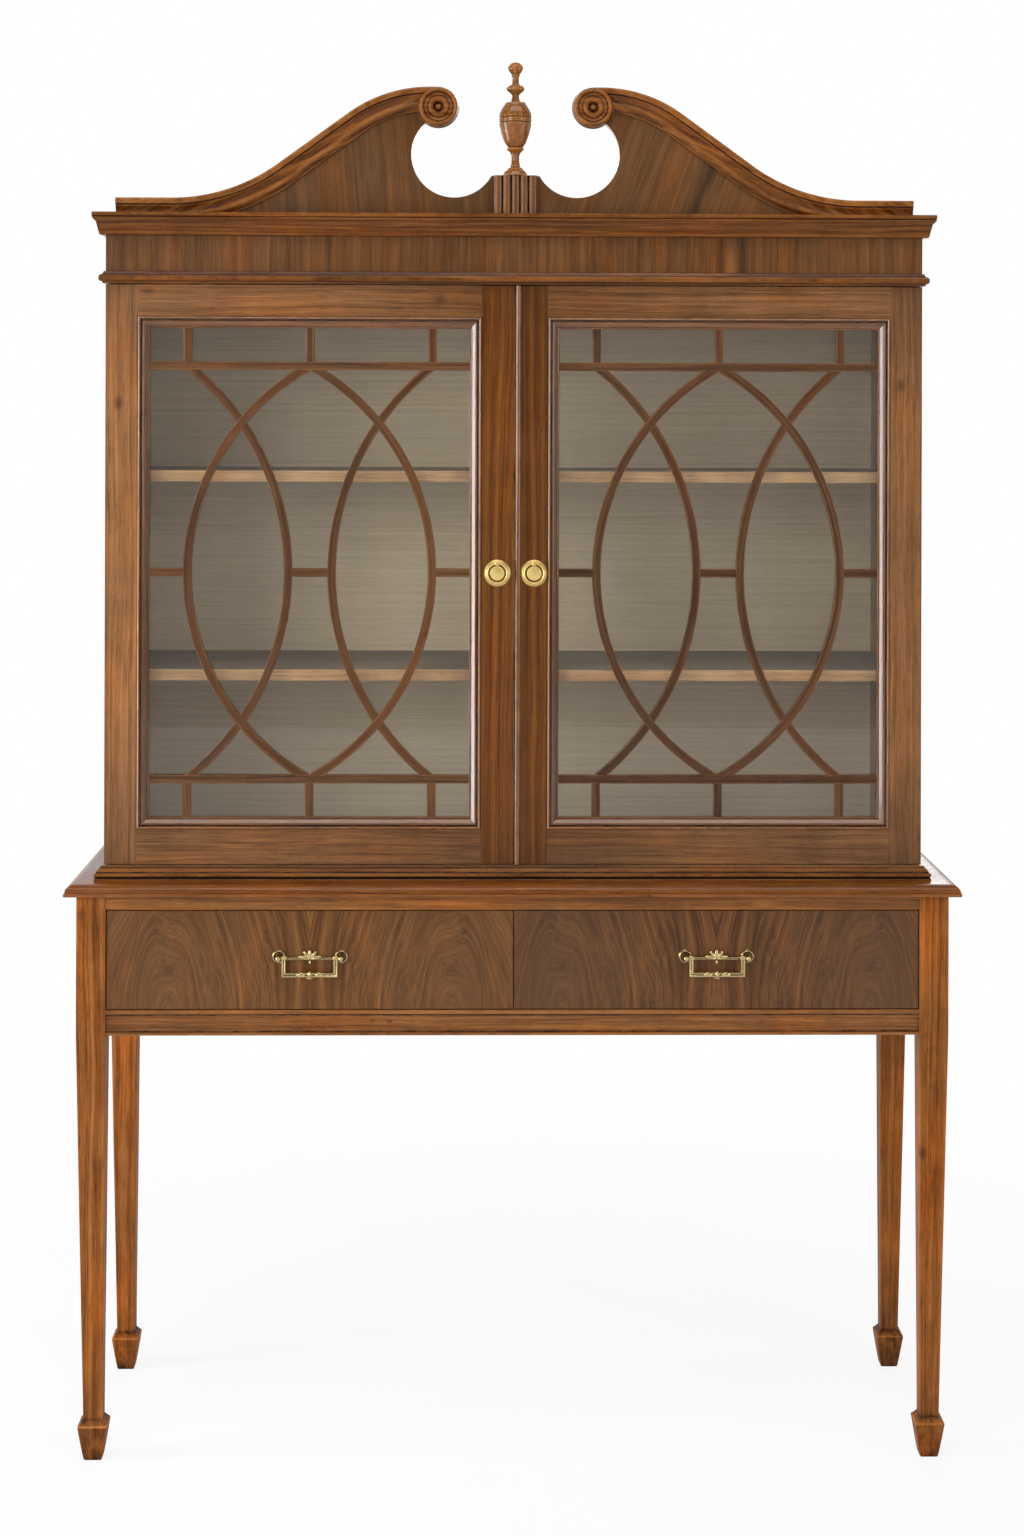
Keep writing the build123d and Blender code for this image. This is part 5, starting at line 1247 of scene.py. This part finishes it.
# %% [markdown]
# ## Meeting bead
#
# A half-round bead on the right door covers the gap where the two doors meet. It is one stick with a
# round front and a tongue that fills the gap, so it is one more profile on an upright path.

# %% Meeting bead
BEAD_X, BEAD_BOTTOM, BEAD_TOP, BEAD_HALF = 0.0055, 0.8895, 1.7665, 4
BEAD = [(x, BEAD_HALF * math.sqrt(1 - (x / 4.05) ** 2), 0.3) for x in np.linspace(-BEAD_HALF, BEAD_HALF, 15)]
BEAD += [(4, -0.5, -0.5), (4, -1, -1), (-5.1, -21, -1), (-5.1, -1, -1), (-4.6, -0.2, -0.6)]
places = [[BEAD_X, CASE_FRONT, BEAD_BOTTOM], [BEAD_X, CASE_FRONT, BEAD_TOP]]
bead = carry(BEAD, places, [[1, 0, 0]] * 2, [FORWARD] * 2, (0.4, 0.1, 0))
piece("meeting_bead", [bead], glossy_wood, "door_right", stands_for=["door_right_meeting_bead"])

# %% [markdown]
# ## Ring pulls
#
# Each door has a turned brass rose with a ring that hangs from a knuckle at its top. The rose is turned
# and the ring is bent from wire, so the one is a spun outline and the other a round profile carried
# along a circle. The ring is a piece of its own, because it swings.

# %% Ring pulls
# The channel round the boss, where the ring lies, is painted dark as shade.
ROSE = through([
    # radius, forward, wear and shade
    (0, 0, 0), (19, 0, -0.5), (19, 1.2, 0), (18.6, 2.4, 0.2), (17.9, 3.2, 0.3), (17.2, 3.4, 0.3),
    (16.4, 3.1, 0), (15.8, 2.3, -0.5), (15.0, 1.9, -0.9), (13.4, 1.8, -1), (11.8, 1.8, -1),
    (11.3, 2.4, -0.7), (11.2, 4.2, 0), (11.0, 5.2, 0.2), (10.3, 5.7, 0.3), (9.2, 5.6, 0.2),
    (8, 5.7, 0.2), (4, 6.0, 0.2), (0, 6.1, 0.2),
])
WIRE = [(1.4 * math.cos(t), 1.4 * math.sin(t), 0.2) for t in full_turn(12)[:-1]]
NUT = [(0, 0, 0), (4.6, 0, 0), (4.6, 3.5, 0), (0, 3.5, 0)]
KNUCKLE_LOW, KNUCKLE_HIGH = np.array([-0.003, -0.0082, 0.0118]), np.array([0.003, -0.002, 0.0182])
BALL_OUT, BALL_PLACE, BALL_HALF = 0.0038, np.array([0, -0.0048, 0.015]), (1.6, 2.0, 2.0)
RING_PLACE, RING_RADIUS, RING_POINTS = np.array([0, -0.005, 0]), 0.015, 64
turn = full_turn(RING_POINTS)
spokes = np.stack([np.cos(turn), 0 * turn, np.sin(turn)], -1)
for side, x in (("left", -0.026), ("right", 0.030)):
    centre = np.array([x, CASE_FRONT, FRAME_Z])
    knuckle = board(centre + KNUCKLE_LOW, centre + KNUCKLE_HIGH, 0, 1.0)
    balls = [pebble(centre + BALL_PLACE + np.array([out, 0, 0]), BALL_HALF) for out in (-BALL_OUT, BALL_OUT)]
    nut = turned(NUT, centre - FORWARD * DOOR_THICK, -FORWARD, count=6)
    rose = turned(ROSE, centre, FORWARD, count=64)
    piece(f"{side}_pull_rose", [rose, knuckle, nut] + balls, polished_brass, f"door_{side}",
          [f"door_{side}_pull_rose"])
    forwards = np.tile(FORWARD, (len(turn), 1))
    ring = carry(WIRE, centre + RING_PLACE + spokes * RING_RADIUS, spokes, forwards, ring=True)
    piece(f"{side}_pull_ring", [ring], polished_brass, f"ring_{side}",
          [f"door_{side}_ring"])

# %% [markdown]
# ## Drawer pulls
#
# Each drawer has a cast pull: two posts with round roses and ball ends, a bar between them with a
# palmette of five leaves, and a bail that hangs on two pins. Casting can make any form, so it could be
# sculpted. At this size turned posts, squeezed balls for the leaves and buds, and a reeded profile
# along a square path read the same, and they stay exact where the bail turns.

# %% Profiles of the drawer pulls
POST = through([
    # radius, forward, wear and shade
    (0, 0, 0), (9.3, 0, -0.5), (9.3, 0.9, 0), (9.0, 1.9, 0.3), (8.3, 2.5, 0.4), (7.5, 2.3, 0.2),
    (6.9, 1.5, -0.5), (6.4, 1.1, -0.8), (5.0, 1.0, -0.9), (3.6, 1.4, -0.8), (3.0, 3, -0.5),
    (2.9, 8, -0.3), (3.0, 12, -0.2), (3.6, 13.2, 0.1), (4.1, 15.2, 0.2), (4.15, 16.8, 0.3),
    (3.7, 18.6, 0.3), (2.6, 20.0, 0.4), (1.2, 20.6, 0.4), (0, 20.7, 0.4),
])
# The back half of the bar, towards the drawer, is painted darker as shade.
ROD = [(2.3 * math.cos(t), 1.9 * math.sin(t), -0.2 if math.sin(t) > 0 else -0.6) for t in full_turn(12)[:-1]]
HANDLE = [
    # outward, forward, wear and shade
    (3.6, -2.2, -0.5), (3.8, 0.4, 0), (3.2, 1.7, 0.3), (2.0, 2.3, 0.4), (0.9, 2.0, 0), (0.3, 1.2, -0.6),
    (-0.3, 1.6, -0.1), (-1.4, 2.5, 0.3), (-2.6, 2.3, 0.3), (-3.5, 1.1, 0.1), (-3.6, -2.2, -0.5),
]
PIN = [(0, 0, 0), (1.5, 0, 0), (1.5, 12.5, 0), (0, 12.5, 0)]
BARREL = [(0, -4, 0), (3.0, -4, 0), (3.4, -3.4, 0.3), (3.4, 3.4, 0.3), (3.0, 4, 0), (0, 4, 0)]
LEAVES = ((-78, 9.0), (-40, 7.6), (0, 7.0), (40, 7.6), (78, 9.0))
LEAF_WIDE, LEAF_DEEP, LEAF_RUB = 3.1, 2.8, 0.3
PULL_Y, PULL_Z, POST_OUT, BAR_OUT, BAR_DOWN = -0.189, 0.75675, 0.047, 0.04, 0.003
BAIL_Y, BAIL_OUT, BAIL_DROP = -0.2, 0.0385, 0.025
NUT_PLACE, PIN_PLACE = np.array([0, 0.02, 0]), np.array([0, -0.011, 0])
ROD_PLACE, LEAF_PLACE = np.array([0, -0.002, 0]), np.array([0, -0.0035, 0])
# Buds: place from the middle of the bar or of the bail, half sizes in millimetres, lean, wear and shade
BAR_BUD = (np.array([0, -0.003, -0.005]), (2.4, 2.2, 3.2), 0, 0.2)
BAIL_BUDS = (
    (np.array([-0.0135, -0.0006, 0]), (7.0, 3.0, 3.9), 0, 0.3),
    (np.array([0.0135, -0.0006, 0]), (7.0, 3.0, 3.9), 0, 0.3),
    (np.array([0, -0.0008, 0.0006]), (3.6, 4.2, 5.2), 0, 0.4),
    (np.array([0, 0, -0.0052]), (4.6, 1.6, 1.4), 0, 0.2),
)
print("the bail hangs", BAIL_DROP / MM, "mm below its pins,", 2 * BAIL_OUT / MM, "mm wide")


# %% Drawer pulls
def pull_mount(x):
    """What stays on the drawer: posts, nuts, pins, the bar, the leaves of the fan and the bud below."""
    made = []
    for sign in (-1, 1):
        post = np.array([x + sign * POST_OUT, PULL_Y, PULL_Z])
        made.append(turned(POST, post, FORWARD, count=40))
        made.append(turned(NUT, post + NUT_PLACE, -FORWARD, count=6))
        made.append(turned(PIN, post + PIN_PLACE, (-sign, 0, 0), count=16))
    bar = np.array([x, PULL_Y, PULL_Z - BAR_DOWN])
    places = [bar + ROD_PLACE + np.array([out, 0, 0]) for out in (-BAR_OUT, BAR_OUT)]
    made.append(carry(ROD, places, [UPWARD] * 2, [FORWARD] * 2))
    for lean, length in LEAVES:
        reach = length * MM * np.array([math.sin(math.radians(lean)), 0, math.cos(math.radians(lean))])
        made.append(pebble(bar + LEAF_PLACE + reach, (LEAF_WIDE, LEAF_DEEP, length), lean, LEAF_RUB))
    place, *bud = BAR_BUD
    return made + [pebble(bar + place, *bud)]


def pull_handle(x):
    """What swings: the reeded bail on a square path, its barrels, and the buds at its middle."""
    middle = np.array([x, BAIL_Y, PULL_Z - BAIL_DROP])
    side, drop = np.array([BAIL_OUT, 0, 0]), UPWARD * BAIL_DROP
    corners = middle + np.array([drop - side, -side, side, drop + side])
    outs = [[-1, 0, 0], [-1, 0, -1], [1, 0, -1], [1, 0, 0]]
    made = [carry(HANDLE, corners, outs, [FORWARD] * 4)]
    for sign in (-1, 1):
        made.append(turned(BARREL, (x + sign * BAIL_OUT, BAIL_Y, PULL_Z), (1, 0, 0), count=24))
    return made + [pebble(middle + place, *bud) for place, *bud in BAIL_BUDS]


for side in ("left", "right"):
    low, high = box(f"drawer_{side}_bail")
    x = (low[0] + high[0]) / 2
    piece(f"{side}_pull_mount", pull_mount(x), antique_brass, f"drawer_{side}",
          [f"drawer_{side}_pull_mount"])
    piece(f"{side}_pull_handle", pull_handle(x), antique_brass, f"bail_{side}",
          [f"drawer_{side}_bail"])

# %% [markdown]
# ## Camera
#
# A long lens stands at the height of the doors and is shifted down, as a furniture photographer does to
# keep uprights upright. The camera could be aimed with a constraint. Here its three directions are
# worked out from a turn, a tilt and a roll, so that it stands exactly where the angles say.

# %% Camera
CAMERA_PLACE, CAMERA_ANGLES = (-0.0668, -3.8914, 1.5580), (0.9605, -0.09, 0.1704)


def stand_at(made, place, directions):
    """Puts an object at a place, its own x, y and z along three directions."""
    rows = zip(np.stack(directions, 1), place)
    made.matrix_world = Matrix([[*row, value] for row, value in rows] + [[0, 0, 0, 1]])
    bpy.context.scene.collection.objects.link(made)


yaw, pitch, roll = (math.radians(angle) for angle in CAMERA_ANGLES)
ahead = np.array([math.sin(yaw) * math.cos(pitch), math.cos(yaw) * math.cos(pitch), -math.sin(pitch)])
right = np.array([math.cos(yaw), -math.sin(yaw), 0])
above = np.cross(right, ahead)
side_way = math.cos(roll) * right + math.sin(roll) * above
up_way = math.cos(roll) * above - math.sin(roll) * right
camera = bpy.data.objects.new("camera", bpy.data.cameras.new("camera"))
stand_at(camera, CAMERA_PLACE, [side_way, up_way, -ahead])
camera.data.lens = 57.74
camera.data.shift_y = -0.227
scene = bpy.context.scene
scene.camera = camera
print("camera at", CAMERA_PLACE, "with a lens of", camera.data.lens, "mm")

# %% [markdown]
# ## Floor and room
#
# The cabinet stands on a white sweep that ends nowhere. A bright lamp on a white floor would bleach the
# object too. So near the feet the floor is partly matt, where it takes the shadow, and further out it
# only glows white, and it glows only for rays that show the background. The room is white in the same
# way. Shiny wood mirrors it, and a room that is darker in front keeps the mouldings from looking grey.

# %% Floor
FLOOR_HALF, SHADOW_REACH, FEET_GLOW = 9, (0.6, 2.2), 0.86
WHITE = (1, 1, 1, 1)
scene.view_settings.view_transform = "Standard"
square = [(-FLOOR_HALF, -FLOOR_HALF, 0), (FLOOR_HALF, -FLOOR_HALF, 0), (FLOOR_HALF, FLOOR_HALF, 0),
          (-FLOOR_HALF, FLOOR_HALF, 0)]
floor_mesh = bpy.data.meshes.new("floor")
floor_mesh.from_pydata(square, [], [(0, 1, 2, 3)])
floor = bpy.data.objects.new("floor", floor_mesh)
scene.collection.objects.link(floor)
floor_material, tree = start_material("white_floor")
spread = noise(tree, object_place(tree), (3, 3, 3))
matt = add(tree, "BsdfPrincipled", {
    "Base Color": ramp(tree, spread, [(0.3, (0.88, 0.88, 0.88)), (0.7, (0.9, 0.9, 0.9))]),
    "Roughness": 0.9, "Specular IOR Level": 0.0,
})
path = add(tree, "LightPath").outputs
mirrored = maths(tree, "MAXIMUM", path["Is Glossy Ray"], path["Is Transmission Ray"])
seen = maths(tree, "MAXIMUM", path["Is Camera Ray"], mirrored)
reach = vectors(tree, "LENGTH", object_place(tree)).outputs["Value"]
share = maths(tree, "MULTIPLY", seen, between(tree, reach, *SHADOW_REACH, FEET_GLOW, 1.0))
glow = add(tree, "Emission", [WHITE, 1.0])
add(tree, "OutputMaterial", [add(tree, "MixShader", [share, matt, glow])])
floor_mesh.materials.append(floor_material)
print("floor", 2 * FLOOR_HALF, "m wide")

# %% Room
ROOM_LIGHT, FRONT_SHINE, FRONT_TO_BACK, CEILING_PULL = 0.32, 0.35, (-0.3, 0.4), -0.6
world = bpy.data.worlds.new("white_room")
world.use_nodes = True
world.node_tree.nodes.clear()
tree = world.node_tree
path = add(tree, "LightPath").outputs
_, back_way, up = add(tree, "SeparateXYZ", [add(tree, "TexCoord").outputs["Generated"]]).outputs
behind = maths(tree, "MULTIPLY_ADD", up, CEILING_PULL, back_way)
mirror_light = between(tree, behind, *FRONT_TO_BACK, FRONT_SHINE, 1.0)
mirrored = maths(tree, "MULTIPLY", path["Is Glossy Ray"], mirror_light)
direct = maths(tree, "MAXIMUM", path["Is Camera Ray"], path["Is Transmission Ray"])
strength = maths(tree, "MAXIMUM", maths(tree, "MAXIMUM", direct, mirrored), ROOM_LIGHT)
add(tree, "OutputWorld", [add(tree, "Background", [WHITE, strength])])
scene.world = world
print("the room lights the object at", ROOM_LIGHT)

# %% [markdown]
# ## Lamps
#
# Large soft lamps stand where a studio has them: two in front, one above, one behind and a window at
# each side that draws a bright line down the rounds of the mouldings. Small lamps would be cheaper, but
# polished wood mirrors every lamp, and only a wide one looks like a window there.


# %% Lamps
def lamp(name, place, aim, size, power):
    """A large soft lamp that looks at a point: its back points from the aim to the place."""
    light = bpy.data.lights.new(name, "AREA")
    light.shape = "RECTANGLE"
    light.size, light.size_y = size
    light.energy = power
    back = np.asarray(place, float) - np.asarray(aim, float)
    back = back / np.linalg.norm(back)
    side = np.cross(UPWARD, back)
    side = side / np.linalg.norm(side)
    stand_at(bpy.data.objects.new(name, light), place, [side, np.cross(back, side), back])
    print(name, power, "W")


lamp("left_softbox", (-2.9, -4.0, 2.2), (0, 0, 1.0), (1.8, 1.8), 70.0)
lamp("right_softbox", (3.2, -3.6, 1.9), (0, 0, 1.0), (1.2, 1.8), 34.0)
lamp("ceiling", (0.0, -1.3, 4.0), (0, 0, 0.8), (2.6, 1.2), 36.0)
lamp("left_window", (-3.2, -0.65, 1.4), (0, -0.3, 1.4), (1.0, 2.0), 80.0)
lamp("back_softbox", (0.5, 4.4, 2.6), (0, 0, 1.0), (2.4, 1.8), 70.0)
lamp("right_window", (3.0, -1.6, 1.5), (0, 0, 1.3), (0.2, 1.8), 13.0)
